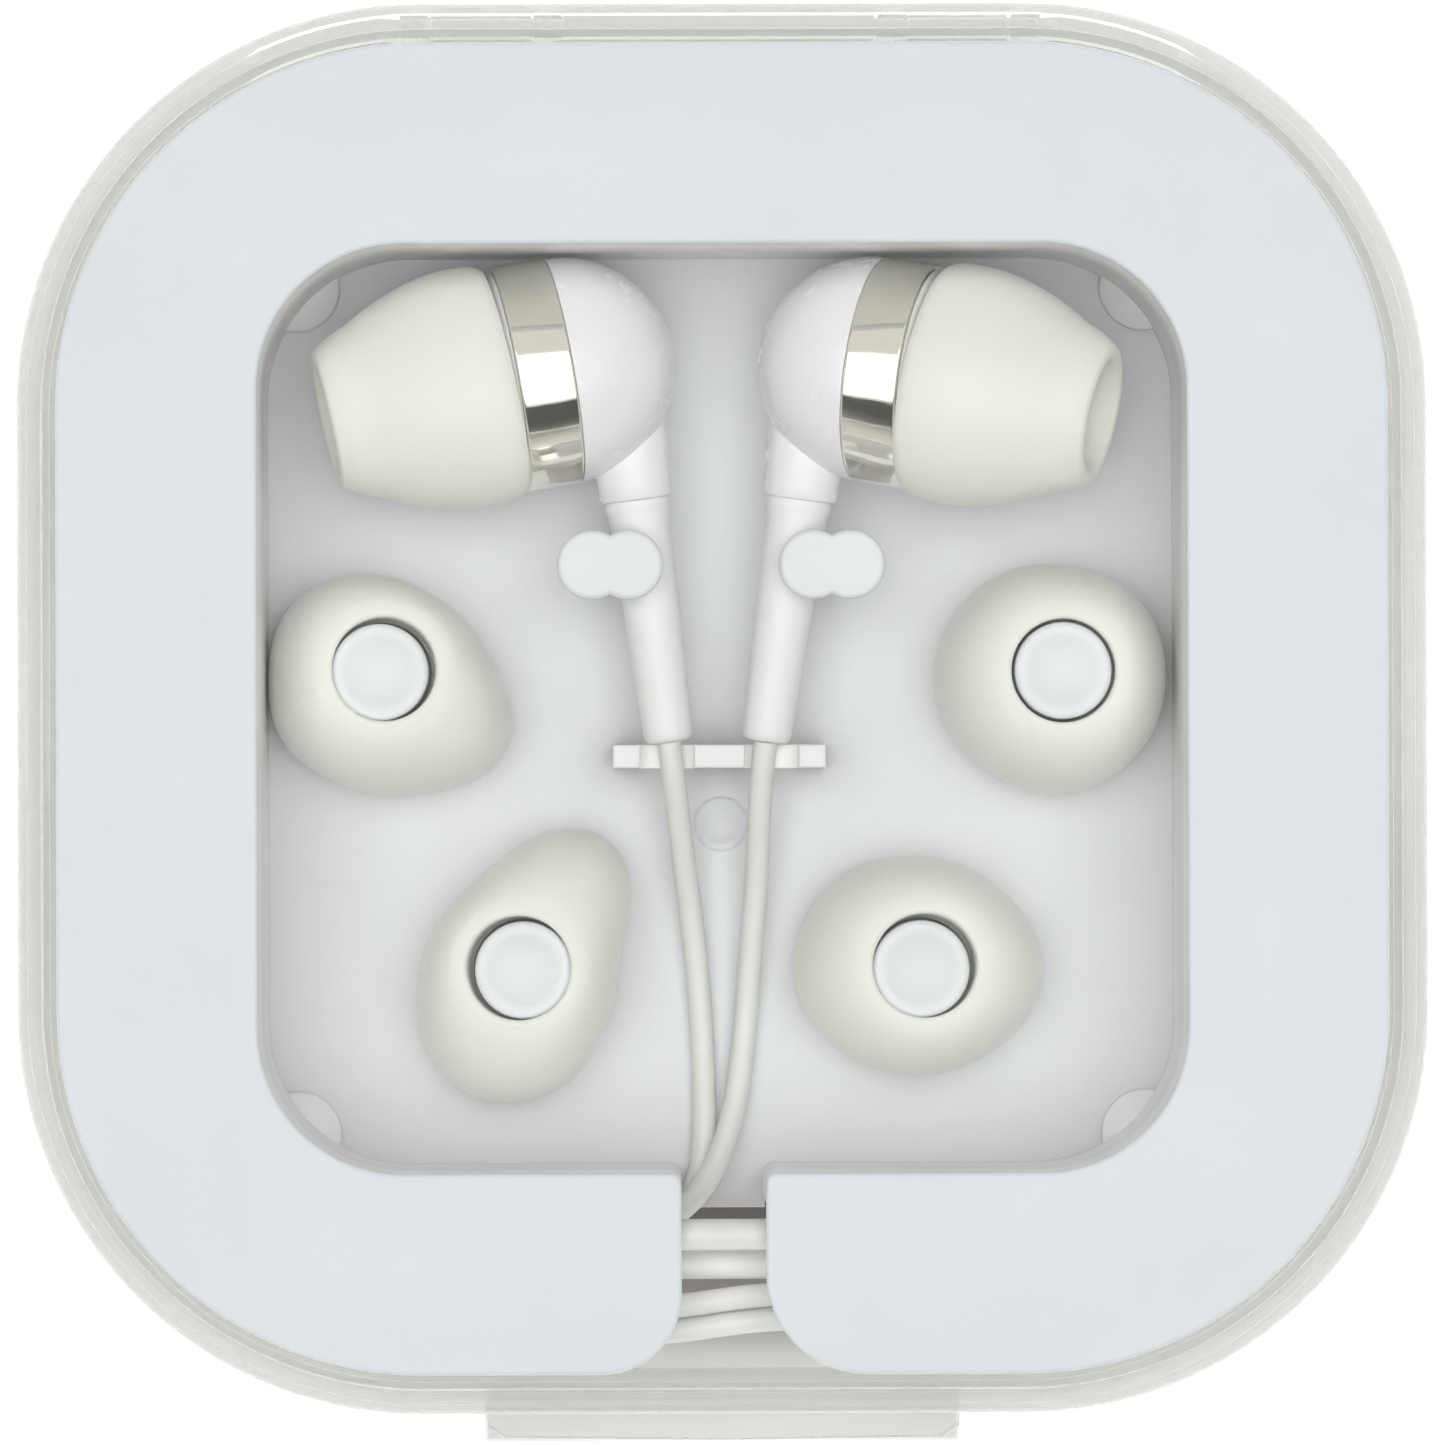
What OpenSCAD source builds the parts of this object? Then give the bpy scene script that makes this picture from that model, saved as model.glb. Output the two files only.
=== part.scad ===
// Wired in-ear earphones wound on their tray in a clear hinged case.
// Millimetres. X runs left to right, +Y points at the hinge, +Z is up,
// and the origin is the middle of the case's underside.

/* [Case] */
// Width of the closed case, left to right
case_w = 70; // [66:1:90]
// Depth of the closed case, hinge side to front, without the tab
case_d = 70; // [68:1:90]
// Height of the closed case
case_h = 22; // [21.5:0.5:30]
// Height of the base's rim, where the lid starts
base_h = 12; // [10:0.5:14]
// Corner radius of the case, seen from above
case_r = 20; // [16:1:24]
// Thickness of the clear walls
wall = 1.2; // [1:0.1:1.5]
// Radius of the rounded edge round the top and the underside
edge_r = 2; // [1.6:0.1:3]
// Height of the lip that the lid closes over
lip_h = 1; // [0.6:0.1:1.5]
// Width of the opening tab
tab_w = 23.8; // [12:0.2:30]
// How far the opening tab stands out
tab_out = 1.8; // [0.8:0.1:2.5]
// Thickness of the opening tab
tab_t = 2.5; // [1.5:0.1:4]

/* [Hinge] */
// Outer radius of the hinge knuckles
knuckle_r = 1.25; // [1.1:0.05:1.5]
// Radius of the hinge pins
pin_r = 0.6; // [0.4:0.05:0.7]
// Distance of each hinge from the middle of the case
hinge_x = 12; // [8:0.5:14]
// Length of each base knuckle
knuckle_l = 5; // [3:0.5:6]
// Thickness of each lid ear
ear_t = 1.4; // [1:0.1:2]
// Radial clearance of the hinge pin and of the ear tips
fit = 0.05; // [0.02:0.01:0.08]

/* [Tray] */
// Width of the square pocket
pocket_w = 46.2; // [44:0.2:50]
// Corner radius of the pocket
pocket_r = 7.2; // [5:0.2:12]
// Depth of the pocket below the top of the flange
pocket_depth = 15.8; // [14.5:0.1:16.5]
// Thickness of the tray's flange and floor
tray_t = 1.2; // [0.8:0.1:1.6]
// Thickness of the hub wall that the cable is wound round
hub_t = 1.5; // [1:0.1:2]
// Gap between the flange and the case wall
flange_gap = 0.7; // [0.6:0.1:1.2]
// Gap between the flange and the lid's roof
roof_gap = 0.6; // [0.4:0.1:1]
// Width of the cable slot
slot_w = 4.2; // [3.6:0.1:6]
// Radius of the pegs that hold the spare ear tips
peg_r = 2.45; // [2.2:0.05:2.5]
// Height of the pegs above the pocket floor
peg_h = 8.8; // [6:0.1:10]
// Height of the stem clips above the pocket floor
clip_h = 8.2; // [7.6:0.1:10]

/* [Earphones] */
// Radius of the round housing and of its trim ring
bud_r = 5.7; // [5.4:0.05:5.8]
// Wall of the round housing
shell_t = 1; // [0.7:0.05:1.2]
// Width of the chrome trim ring
ring_w = 2.8; // [2.2:0.1:3.2]
// Outer radius of the nozzle
nozzle_r = 2.5; // [2.2:0.05:2.5]
// Wall of the nozzle
nozzle_t = 0.6; // [0.4:0.05:0.8]
// Largest radius of the ear tips that are fitted to the earphones
tip_r = 6.1; // [5.8:0.1:6.3]
// Largest radius of the two upper spare tips
upper_spare_r = 5.7; // [5.3:0.1:5.8]
// Largest radius of the two lower spare tips
lower_spare_r = 5.9; // [5.3:0.1:6.1]
// Length of an ear tip
tip_l = 9.4; // [8.6:0.1:10]
// Thickness of the ear tips' silicone
skin = 0.6; // [0.4:0.05:0.8]
// Radius of the stem at the housing
stem_top_r = 1.6; // [1.5:0.05:1.7]
// Radius of the stem where the cord leaves it
stem_end_r = 1.25; // [1:0.05:1.4]

/* [Cable] */
// Diameter of the two thin cords to the earphones
branch_d = 1.2; // [1:0.1:1.4]
// Diameter of the main cable
main_d = 1.5; // [1.3:0.1:1.7]
// Radius of the moulded plug
plug_r = 3; // [2.5:0.1:3.2]
// Length of the moulded plug, with its strain relief
plug_l = 14; // [12:0.5:15]
// Length of the plug's tapered strain relief
relief_l = 8; // [6:0.5:9]
// Radius of the jack pin, a standard 3.5 mm one
jack_r = 1.75; // [1.7:0.05:1.8]

/* [Hidden] */
$fn = 64;
eps = 0.01;
part_gap = 0.05;

in_w = case_w / 2 - wall;             // half width between the walls
in_d = case_d / 2 - wall;
in_r = case_r - wall;
rim_x = case_w / 2 - case_r;          // centres of the corner arcs
rim_y = case_d / 2 - case_r;

hinge_y = case_d / 2 - knuckle_r - 0.15;
relief_h = knuckle_r + 0.85;          // clears the rear edge as the lid swings
ear_gap = 0.15;                       // play beside each lid ear
ear_x = knuckle_l / 2 + ear_t / 2 + ear_gap;
relief_x = rim_x + sqrt(case_r * case_r - pow(hinge_y - rim_y, 2)) + 1;

roof_z = case_h - wall;               // underside of the lid's roof
flange_top = roof_z - roof_gap;
flange_z = flange_top - tray_t;
floor_top = flange_top - pocket_depth;
floor_z = floor_top - tray_t;
flange_x = in_w - flange_gap;
flange_y = in_d - flange_gap;
flange_r = in_r - flange_gap;
hub_w = pocket_w + 2 * hub_t;
hub_r = pocket_r + hub_t;

peg_at = [[-17.2, 1.9], [17.2, 1.9], [-10, -13.1], [10, -13.1]];
clip_at = [[-5.6, 7.3], [5.6, 7.3]];
clip_lobe = [1.75, 0.93];             // radius of a lobe, half the distance between two
clip_t = 1.2;
clip_post_r = 1.2;
comb = [10.8, 1.2, 5.6];              // width, thickness, height above the floor
comb_at = [-0.1, -2.36];
comb_slot = [2.7, 1.8];               // width, depth
pad_at = 21.6;                        // raised discs in the pocket's corners
pad_r = 2.2;
pad_h = 0.8;

// One entry for each side: left, right
bud_at = [[-7.94, 17.2, floor_top + 5.8], [7.6, 17.2, floor_top + 5.8]];
nozzle_az = [190, -8.7];
nozzle_tilt = [6, 15];
stem_z = [floor_top + 5.2, floor_top + 4.5];
stem_from = [[-4.24, 10.7, stem_z[0]], [3.99, 10.7, stem_z[0]]];
stem_to = [[-2.64, -1.6, stem_z[1]], [2.27, -1.6, stem_z[1]]];
neck_r = 1.9;
neck_in = 4.6;
spigot_r = bud_r - 0.75;
driver_r = bud_r - 1.55;
ring_u = 0.05;
ring_end = ring_u + ring_w;
tip_u = ring_end + 0.4;               // where the ear tip's skirt starts
nozzle_end = tip_u + 7.2;
bore_r = nozzle_r + fit;
rise = floor_top + branch_d / 2 + 0.1;

left_route = [
    stem_to[0], [-2.4, -3.6, 8.7], [-2.1, -6, 7.7], [-1.8, -8.6, 6.6], [-1.4, -11.5, 5.6],
    [-1.1, -15, rise], [-0.9, -18.5, rise], [-0.9, -21.5, rise], [-1, -23.6, rise],
    [-1.5, -25, 5.3], [-2.9, -25.8, 5.5], [-5, -26.1, 6], [-8, -26.3, 7.4], [-11, -26.5, 9.2],
    [-13.5, -26.6, 10.6]];
right_route = [
    stem_to[1], [2, -3.6, 8.6], [1.9, -6, 7.8], [1.8, -9, 6.8], [1.5, -12, 5.9],
    [1.3, -15, 5.4], [1, -18, 5.3], [0.5, -21, 5.8], [-0.3, -23.2, 6.5],
    [-1.3, -24.9, 6.8], [-2.8, -26, 7.1], [-4.8, -26.8, 7.6], [-7.5, -27.4, 8.8],
    [-10, -27.6, 10.2], [-11, -27.6, 10.6]];
plug_at = [29.4, 8, wall + plug_r];
main_route = [
    [29.4, 16.05, wall + plug_r], [29.4, 18.2, 4.3], [29, 20.6, 4.9], [27.8, 23.2, 5.9],
    [25.6, 25.8, 7.2], [22.6, 27.8, 8.8], [19, 28.8, 10.4], [16, 29, 11.6], [13, 28.9, 12.2]];
splitter = [2.1, 11];                 // radius, length
splitter_at = [-31.2, -4, 14.4];
wind_in = pocket_w / 2 + hub_t + 0.8; // winding: half width inside, half width outside
wind_out = 29.2;
wind_front = 31.6;
wind_z = [10.2, flange_z - 0.3];

jack = [8, 0.5, 2, 0.5, 3];           // sleeve, insulator, ring, insulator, tip

clear_white = [0.93, 0.95, 0.96, 0.35];
tray_white = [0.88, 0.9, 0.92];
shell_white = [0.92, 0.93, 0.94];
silicone = [0.9, 0.9, 0.85];
cord_white = [0.91, 0.91, 0.89];
chrome = [0.75, 0.75, 0.73];
steel = [0.6, 0.61, 0.63];
copper = [0.72, 0.43, 0.25];

// Points of an arc about c, from angle a0 to a1, in n steps
function arc(c, r, a0, a1, n = 6) =
    [for (i = [0:n]) let (a = a0 + (a1 - a0) * i / n) [c[0] + r * cos(a), c[1] + r * sin(a)]];

module round_rect(w, d, r) {
    square([w - 2 * r, d], center = true);
    square([w, d - 2 * r], center = true);
    for (x = [-1, 1], y = [-1, 1]) translate([x * (w / 2 - r), y * (d / 2 - r)]) circle(r);
}

// Carries a profile round the case's outline. The profile's x is measured from a corner's centre.
module round_the_case() {
    for (k = [0:3]) {
        sx = k == 0 || k == 3 ? 1 : -1;
        sy = k < 2 ? 1 : -1;
        translate([sx * rim_x, sy * rim_y, 0]) rotate(90 * k) {
            rotate_extrude(angle = 90) children();
            rotate([90, 0, 0]) linear_extrude(k % 2 == 0 ? 2 * rim_y : 2 * rim_x) children();
        }
    }
}

// Wall with a rounded lower edge and, on its top, a lip or a groove on the inner half
module wall_profile(h, step) {
    mid = case_r - wall / 2;
    inner = case_r - edge_r;
    polygon(concat(
        [[inner - 1, 0]],
        arc([inner, edge_r], edge_r, -90, 0),
        step > 0 ? [[case_r, h], [mid - part_gap, h], [mid - part_gap, h + step], [in_r, h + step]]
                 : [[case_r, h], [mid + part_gap, h], [mid + part_gap, h + step], [in_r, h + step]],
        arc([inner, edge_r], edge_r - wall, 0, -90),
        [[inner - 1, wall]]));
}

module case_plate() linear_extrude(wall)
    round_rect(case_w - 2 * edge_r - 1, case_d - 2 * edge_r - 1, case_r - edge_r - 0.5);

// A rod along the hinge's line, with its middle at x
module along_x(x, l, r)
    translate([x, hinge_y, base_h])
        rotate([0, 90, 0])
            cylinder(h = l, r = r, center = true);

module case_base() color(clear_white) {
    difference() {
        union() {
            difference() {
                round_the_case() wall_profile(base_h, lip_h);
                translate([-relief_x - 1, 0, base_h]) cube([2 * relief_x + 2, case_d, 2 * lip_h]);
            }
            case_plate();
            for (s = [-1, 1]) along_x(s * hinge_x, knuckle_l, knuckle_r);
            translate([0, -case_d / 2, base_h - tab_t]) linear_extrude(tab_t)
                polygon([[-tab_w / 2, wall / 2], [-tab_w / 2, 0.4 - tab_out], [0.8 - tab_w / 2, -tab_out],
                    [tab_w / 2 - 0.8, -tab_out], [tab_w / 2, 0.4 - tab_out], [tab_w / 2, wall / 2]]);
        }
        for (s = [-1, 1]) {
            along_x(s * hinge_x, knuckle_l + 2, pin_r + fit);
            for (e = [-1, 1])
                translate([s * hinge_x + e * ear_x, hinge_y - knuckle_r - ear_gap * 2, base_h - relief_h])
                    translate([-ear_t / 2 - ear_gap, 0, 0])
                        cube([ear_t + 2 * ear_gap, 4, relief_h + 1]);
        }
    }
}

module case_lid() color(clear_white) {
    difference() {
        translate([0, 0, case_h]) mirror([0, 0, 1]) {
            round_the_case() wall_profile(case_h - base_h - part_gap, -lip_h - 0.2);
            case_plate();
        }
        translate([-relief_x, in_d - 3, base_h - 1]) cube([2 * relief_x, 6, relief_h + 1]);
        translate([-tab_w / 2, -case_d / 2 - 1, base_h - 1]) cube([tab_w, 1.3, 1.3]);
    }
    for (s = [-1, 1]) {
        along_x(s * hinge_x, 2 * ear_x, pin_r);
        for (e = [-1, 1]) {
            along_x(s * hinge_x + e * ear_x, ear_t, knuckle_r);
            translate([s * hinge_x + e * ear_x - ear_t / 2, in_d + 0.1, base_h])
                cube([ear_t, wall - 0.3, relief_h + 1]);
        }
    }
}

module slot_cut() {
    translate([-slot_w / 2, -case_d / 2]) square([slot_w, case_d / 2 - pocket_w / 2 + 1]);
    for (m = [[-1, 4], [1, 5]]) mirror([m[0] < 0 ? 1 : 0, 0]) difference() {
        translate([0, -flange_y - 1]) square([slot_w / 2 + m[1], m[1] + 1]);
        translate([slot_w / 2 + m[1], -flange_y + m[1]]) circle(m[1]);
    }
}

module stem_clip(at, outward) {
    translate([at[0] + outward * 1.1, at[1], floor_top - eps])
        cylinder(h = clip_h - clip_t / 2, r = clip_post_r);
    for (k = [-1, 1]) translate([at[0] + k * clip_lobe[1], at[1], floor_top + clip_h - clip_t])
        cylinder(h = clip_t, r = clip_lobe[0]);
}

module insert_tray() color(tray_white) {
    sill = 0.8;
    difference() {
        union() {
            translate([0, 0, flange_z]) linear_extrude(tray_t) difference() {
                round_rect(2 * flange_x, 2 * flange_y, flange_r);
                round_rect(pocket_w, pocket_w, pocket_r);
                slot_cut();
            }
            translate([0, 0, wall]) linear_extrude(flange_z - wall + tray_t / 2) difference() {
                round_rect(hub_w, hub_w, hub_r);
                round_rect(pocket_w, pocket_w, pocket_r);
            }
            translate([0, 0, floor_z]) linear_extrude(tray_t)
                round_rect(pocket_w + hub_t, pocket_w + hub_t, pocket_r + hub_t / 2);
            for (p = peg_at) translate([p[0], p[1], floor_top - eps]) {
                cylinder(h = peg_h - 0.3, r = peg_r);
                translate([0, 0, peg_h - 0.3]) cylinder(h = 0.3, r1 = peg_r, r2 = peg_r - 0.25);
            }
            for (i = [0, 1]) stem_clip(clip_at[i], i == 0 ? -1 : 1);
            translate([comb_at[0], comb_at[1], floor_top - eps]) difference() {
                translate([-comb[0] / 2, -comb[1] / 2, 0]) cube(comb);
                for (s = [-1, 1]) translate([s * 2.65 - comb_slot[0] / 2, -comb[1], comb[2] - comb_slot[1]])
                    cube([comb_slot[0], 2 * comb[1], 3]);
            }
            for (x = [-1, 1], y = [-1, 1]) translate([x * pad_at, y * pad_at, floor_top - 0.5])
                intersection() {
                    cylinder(h = pad_h + 0.5, r = pad_r);
                    translate([x * -2, y * -2, 0]) cube([5, 5, 4], center = true);
                }
            translate([0, -5.8, floor_top - 0.5]) cylinder(h = 0.6, r = 1.4);
        }
        translate([-slot_w / 2, -hub_w / 2 - 1, floor_top]) cube([slot_w, hub_t + 2, pocket_depth]);
    }
    translate([-slot_w / 2, -hub_w / 2 - sill, floor_z]) cube([slot_w, hub_t + sill, tray_t]);
}

module on_nozzle(i) translate(bud_at[i]) rotate([0, 90 - nozzle_tilt[i], nozzle_az[i]]) children();

// A tube or disc about the nozzle's axis, from u0 to u1
module band(u0, u1, r_out, r_in = 0) translate([0, 0, u0]) difference() {
    cylinder(h = u1 - u0, r = r_out);
    if (r_in > 0) translate([0, 0, -1]) cylinder(h = u1 - u0 + 2, r = r_in);
}

// Runs a child's +Z from point a towards point b
module towards(a, b) {
    v = b - a;
    translate(a) rotate([0, acos(v[2] / norm(v)), atan2(v[1], v[0])]) children();
}

module rear_shell(i) color(shell_white) difference() {
    union() {
        difference() {
            union() {
                on_nozzle(i) intersection() {
                    sphere(bud_r);
                    translate([-10, -10, -20]) cube([20, 20, 20]);
                }
                towards(stem_from[i], stem_to[i]) translate([0, 0, -neck_in])
                    cylinder(h = neck_in, r = neck_r);
            }
            on_nozzle(i) sphere(bud_r - shell_t);
        }
        on_nozzle(i) band(-0.8, ring_w / 2, spigot_r, driver_r + 0.05);
    }
    towards(stem_from[i], stem_to[i]) translate([0, 0, -neck_in - 1])
        cylinder(h = neck_in + 2, r = branch_d / 2 + fit);
}

module trim_ring(i) color(chrome) on_nozzle(i) rotate_extrude() {
    r = spigot_r + 0.02;
    polygon([[r, ring_u], [bud_r - 0.12, ring_u], [bud_r, ring_u + 0.12], [bud_r, ring_end - 0.12],
        [bud_r - 0.12, ring_end], [r, ring_end]]);
}

module nozzle_housing(i) color(shell_white) on_nozzle(i) difference() {
    rotate_extrude() {
        ri = nozzle_r - nozzle_t;
        ru = nozzle_end - 0.3;
        polygon([[driver_r + 0.05, ring_w / 2 + 0.1], [spigot_r, ring_w / 2 + 0.1],
            [spigot_r, ring_end + 0.02], [bud_r - 0.25, ring_end + 0.02], [bud_r - 0.7, ring_end + 0.4],
            [nozzle_r, ring_end + 1.9], [nozzle_r, ru - 0.8], [nozzle_r + 0.2, ru - 0.55],
            [nozzle_r + 0.2, ru - 0.1], [nozzle_r, nozzle_end], [ri, nozzle_end], [ri, ring_end + 1.3],
            [driver_r + 0.05, ring_end - 0.1]]);
    }
    translate([0, 0, nozzle_end - 0.4]) cylinder(h = 1, r = nozzle_r - nozzle_t / 2);
}

// Silicone ear tip: a domed skin folded back over a tube that grips the nozzle
module tip_shape(r) rotate_extrude() {
    l = tip_l;
    tube = bore_r + skin;
    polygon([[r - 0.35, 0], [r - 0.1, 0.6], [r, 1.6], [r - 0.08, 3], [r - 0.45, 4.6], [r - 1, 6],
        [r - 1.7, 7.3], [r - 2.35, l - 1.1], [tube + 0.05, l - 0.4], [tube - 0.25, l], [bore_r + 0.15, l],
        [bore_r, l - 0.5], [bore_r, l - 1.8], [bore_r + 0.35, l - 2], [bore_r + 0.35, l - 3.3],
        [bore_r, l - 3.5], [bore_r, 1.9], [tube, 1.9], [tube, 6.2], [tube + 0.3, l - 2.5],
        [r - 2.5, 7], [r - 1.75, 6], [r - 1.1, 4.6], [r - 0.7, 3], [r - skin, 1.6], [r - skin - 0.15, 0]]);
}

module ear_tip(i) color(silicone) on_nozzle(i) translate([0, 0, tip_u]) tip_shape(tip_r);
module spare_tip(i) color(silicone) translate([peg_at[i][0], peg_at[i][1], floor_top])
    tip_shape(i < 2 ? upper_spare_r : lower_spare_r);

module strain_relief(i) color(shell_white) towards(stem_from[i], stem_to[i])
    cylinder(h = norm(stem_to[i] - stem_from[i]), r1 = stem_top_r, r2 = stem_end_r);

module driver_frame(i) color("dimgray") on_nozzle(i) rotate_extrude()
    polygon([[driver_r - 0.9, -0.4], [driver_r - 0.1, -0.4], [driver_r - 0.1, 0.2], [driver_r, 0.4],
        [driver_r, 2.2], [driver_r - 0.35, 2.2], [driver_r - 0.35, 1.2], [driver_r - 0.9, 1.2]]);
module driver_yoke(i) color(steel) on_nozzle(i) difference() {
    band(-1.9, 0.8, driver_r - 0.92);
    translate([0, 0, -1.4]) cylinder(h = 3, r = driver_r - 1.3);
}
module driver_magnet(i) color(steel) on_nozzle(i) band(-1.4, 0.3, driver_r - 2);
module pole_plate(i) color(steel) on_nozzle(i) band(0.3, 0.8, driver_r - 1.85);
module voice_coil(i) color(copper) on_nozzle(i) band(0.1, 1.4, driver_r - 1.4, driver_r - 1.7);
module diaphragm(i) color([0.8, 0.8, 0.75, 0.8]) on_nozzle(i) rotate_extrude() {
    r = driver_r;
    polygon([[0, 1.9], [1.2, 1.8], [r - 1.7, 1.4], [r - 1.4, 1.4], [r - 1, 1.65], [r - 0.6, 1.4],
        [r - 0.38, 1.4], [r - 0.38, 1.52], [r - 0.6, 1.52], [r - 1, 1.77], [r - 1.4, 1.52],
        [r - 1.7, 1.52], [1.2, 1.92], [0, 2.02]]);
}
module nozzle_mesh(i) color(steel) on_nozzle(i)
    band(nozzle_end - 0.4, nozzle_end - 0.2, nozzle_r - nozzle_t / 2 - 0.02);
module damping_felt(i) color("gainsboro") on_nozzle(i)
    band(nozzle_end - 1.6, nozzle_end - 0.8, nozzle_r - nozzle_t);
module terminal_board(i) color("darkgreen") on_nozzle(i) translate([-1.6, -1.1, -2.5]) cube([3.2, 2.2, 0.6]);

// Smooth path through a list of points, as rings of an eight-sided tube
function catmull(p, i, t) = let (a = p[max(i - 1, 0)], b = p[i], c = p[i + 1], d = p[min(i + 2, len(p) - 1)])
    0.5 * (2 * b + (c - a) * t + (2 * a - 5 * b + 4 * c - d) * t * t + (3 * b - a - 3 * c + d) * t * t * t);
function path(p, n) =
    [for (k = [0:n]) let (s = k * (len(p) - 1) / n, i = min(floor(s), len(p) - 2)) catmull(p, i, s - i)];
function unit(v) = v / norm(v);

module cord_tube(route, d, rings) {
    sides = 8;
    pts = path(route, rings - 1);
    tangents = [for (i = [0:rings - 1]) unit(pts[min(i + 1, rings - 1)] - pts[max(i - 1, 0)])];
    verts = [for (i = [0:rings - 1])
        let (side = unit(cross(tangents[i], [0, 0, 1])), up = cross(side, tangents[i]))
        for (k = [0:sides - 1]) pts[i] + d / 2 * (cos(k * 360 / sides) * side + sin(k * 360 / sides) * up)];
    polyhedron(verts, concat(
        [[for (k = [0:sides - 1]) k]],
        [for (i = [0:rings - 2], k = [0:sides - 1]) let (n = (k + 1) % sides)
            [i * sides + k, (i + 1) * sides + k, (i + 1) * sides + n, i * sides + n]],
        [[for (k = [sides - 1:-1:0]) (rings - 1) * sides + k]]));
}

module left_cord() color(cord_white) cord_tube(left_route, branch_d, 29);
module right_cord() color(cord_white) cord_tube(right_route, branch_d, 29);
module main_cord() color(cord_white) cord_tube(main_route, main_d, 13);

module cable_winding() color(cord_white) translate([0, 0, wind_z[0]]) linear_extrude(wind_z[1] - wind_z[0])
    difference() {
        translate([0, (wind_out - wind_front) / 2]) round_rect(2 * wind_out, wind_out + wind_front, 12);
        round_rect(2 * wind_in, 2 * wind_in, hub_r + 0.8);
    }

module cable_splitter() color(shell_white) translate(splitter_at) rotate([-90, 0, 0]) {
    cylinder(h = 2, r1 = splitter[0] - 0.7, r2 = splitter[0]);
    translate([0, 0, 2]) cylinder(h = splitter[1] - 5, r = splitter[0]);
    translate([0, 0, splitter[1] - 3]) cylinder(h = 3, r1 = splitter[0], r2 = 1.1);
}

module on_plug() translate(plug_at) rotate([90, 0, 0]) children();
module plug_body() color(shell_white) on_plug() {
    translate([0, 0, -relief_l]) cylinder(h = relief_l, r1 = main_d / 2 + 0.5, r2 = plug_r - 0.6);
    difference() {
        cylinder(h = plug_l - 0.4, r = plug_r);
        translate([0, 0, plug_l - 2]) cylinder(h = 3, r = jack_r);
    }
}
module plug_sleeve() color(steel) on_plug() translate([0, 0, plug_l - 2])
    cylinder(h = jack[0] + 2, r = jack_r);
module plug_insulators() color("black") on_plug() for (k = [1, 3])
    translate([0, 0, plug_l + jack_at(k)]) cylinder(h = jack[k], r = jack_r - 0.05);
module plug_ring() color(steel) on_plug() translate([0, 0, plug_l + jack_at(2)])
    cylinder(h = jack[2], r = jack_r);
module plug_tip() color(steel) on_plug() translate([0, 0, plug_l + jack_at(4)]) {
    cylinder(h = 0.8, r1 = jack_r, r2 = jack_r - 0.35);
    translate([0, 0, 0.8]) cylinder(h = 0.8, r1 = jack_r - 0.35, r2 = jack_r - 0.1);
    translate([0, 0, 1.6]) cylinder(h = jack[4] - 1.6, r1 = jack_r - 0.1, r2 = 0.4);
}
// Where part k of the jack starts, from the face of the plug
function jack_at(k) = k == 0 ? 0 : jack_at(k - 1) + jack[k - 1];

case_base();
case_lid();
insert_tray();
rear_shell(0);  // left_rear_shell
rear_shell(1);  // right_rear_shell
trim_ring(0);  // left_trim_ring
trim_ring(1);  // right_trim_ring
nozzle_housing(0);  // left_nozzle_housing
nozzle_housing(1);  // right_nozzle_housing
ear_tip(0);  // left_ear_tip
ear_tip(1);  // right_ear_tip
strain_relief(0);  // left_strain_relief
strain_relief(1);  // right_strain_relief
driver_frame(0);  // left_driver_frame
driver_frame(1);  // right_driver_frame
driver_yoke(0);  // left_driver_yoke
driver_yoke(1);  // right_driver_yoke
driver_magnet(0);  // left_driver_magnet
driver_magnet(1);  // right_driver_magnet
pole_plate(0);  // left_pole_plate
pole_plate(1);  // right_pole_plate
voice_coil(0);  // left_voice_coil
voice_coil(1);  // right_voice_coil
diaphragm(0);  // left_diaphragm
diaphragm(1);  // right_diaphragm
nozzle_mesh(0);  // left_nozzle_mesh
nozzle_mesh(1);  // right_nozzle_mesh
damping_felt(0);  // left_damping_felt
damping_felt(1);  // right_damping_felt
terminal_board(0);  // left_terminal_board
terminal_board(1);  // right_terminal_board
spare_tip(0);  // spare_tip_upper_left
spare_tip(1);  // spare_tip_upper_right
spare_tip(2);  // spare_tip_lower_left
spare_tip(3);  // spare_tip_lower_right
left_cord();
right_cord();
main_cord();
cable_winding();
cable_splitter();
plug_body();
plug_sleeve();
plug_ring();
plug_tip();
plug_insulators();
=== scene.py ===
import math

import bmesh
import bpy
import numpy as np
from mathutils import Matrix, Vector


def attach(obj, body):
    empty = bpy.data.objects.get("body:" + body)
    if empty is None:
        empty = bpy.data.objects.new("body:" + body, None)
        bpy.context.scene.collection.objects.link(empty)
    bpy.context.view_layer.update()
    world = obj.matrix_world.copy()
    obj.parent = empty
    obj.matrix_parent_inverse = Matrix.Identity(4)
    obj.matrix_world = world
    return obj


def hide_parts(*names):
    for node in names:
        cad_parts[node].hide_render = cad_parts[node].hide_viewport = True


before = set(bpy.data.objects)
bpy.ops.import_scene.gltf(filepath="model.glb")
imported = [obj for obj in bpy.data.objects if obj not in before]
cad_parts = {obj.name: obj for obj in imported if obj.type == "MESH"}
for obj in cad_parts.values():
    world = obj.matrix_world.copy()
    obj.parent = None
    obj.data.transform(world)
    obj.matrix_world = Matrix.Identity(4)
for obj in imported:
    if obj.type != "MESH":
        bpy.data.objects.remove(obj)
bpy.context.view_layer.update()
mm = 0.001
scene = bpy.context.scene
scene.cycles.transparent_max_bounces = 40    # a line of sight crosses many clear faces at the hinge
tau = 2 * math.pi


cameraPlan = {
    "over": (-3.3, -4.5),     # point of the tray that the lens is above
    "aim": (0.0, -0.72),
    "planeHeight": 20.0,      # height that is framed
    "distance": 520.0,        # from the lens to that height
    "width": 71.75,           # what the frame spans there
    "roll": -0.17,            # degrees
}


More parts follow.
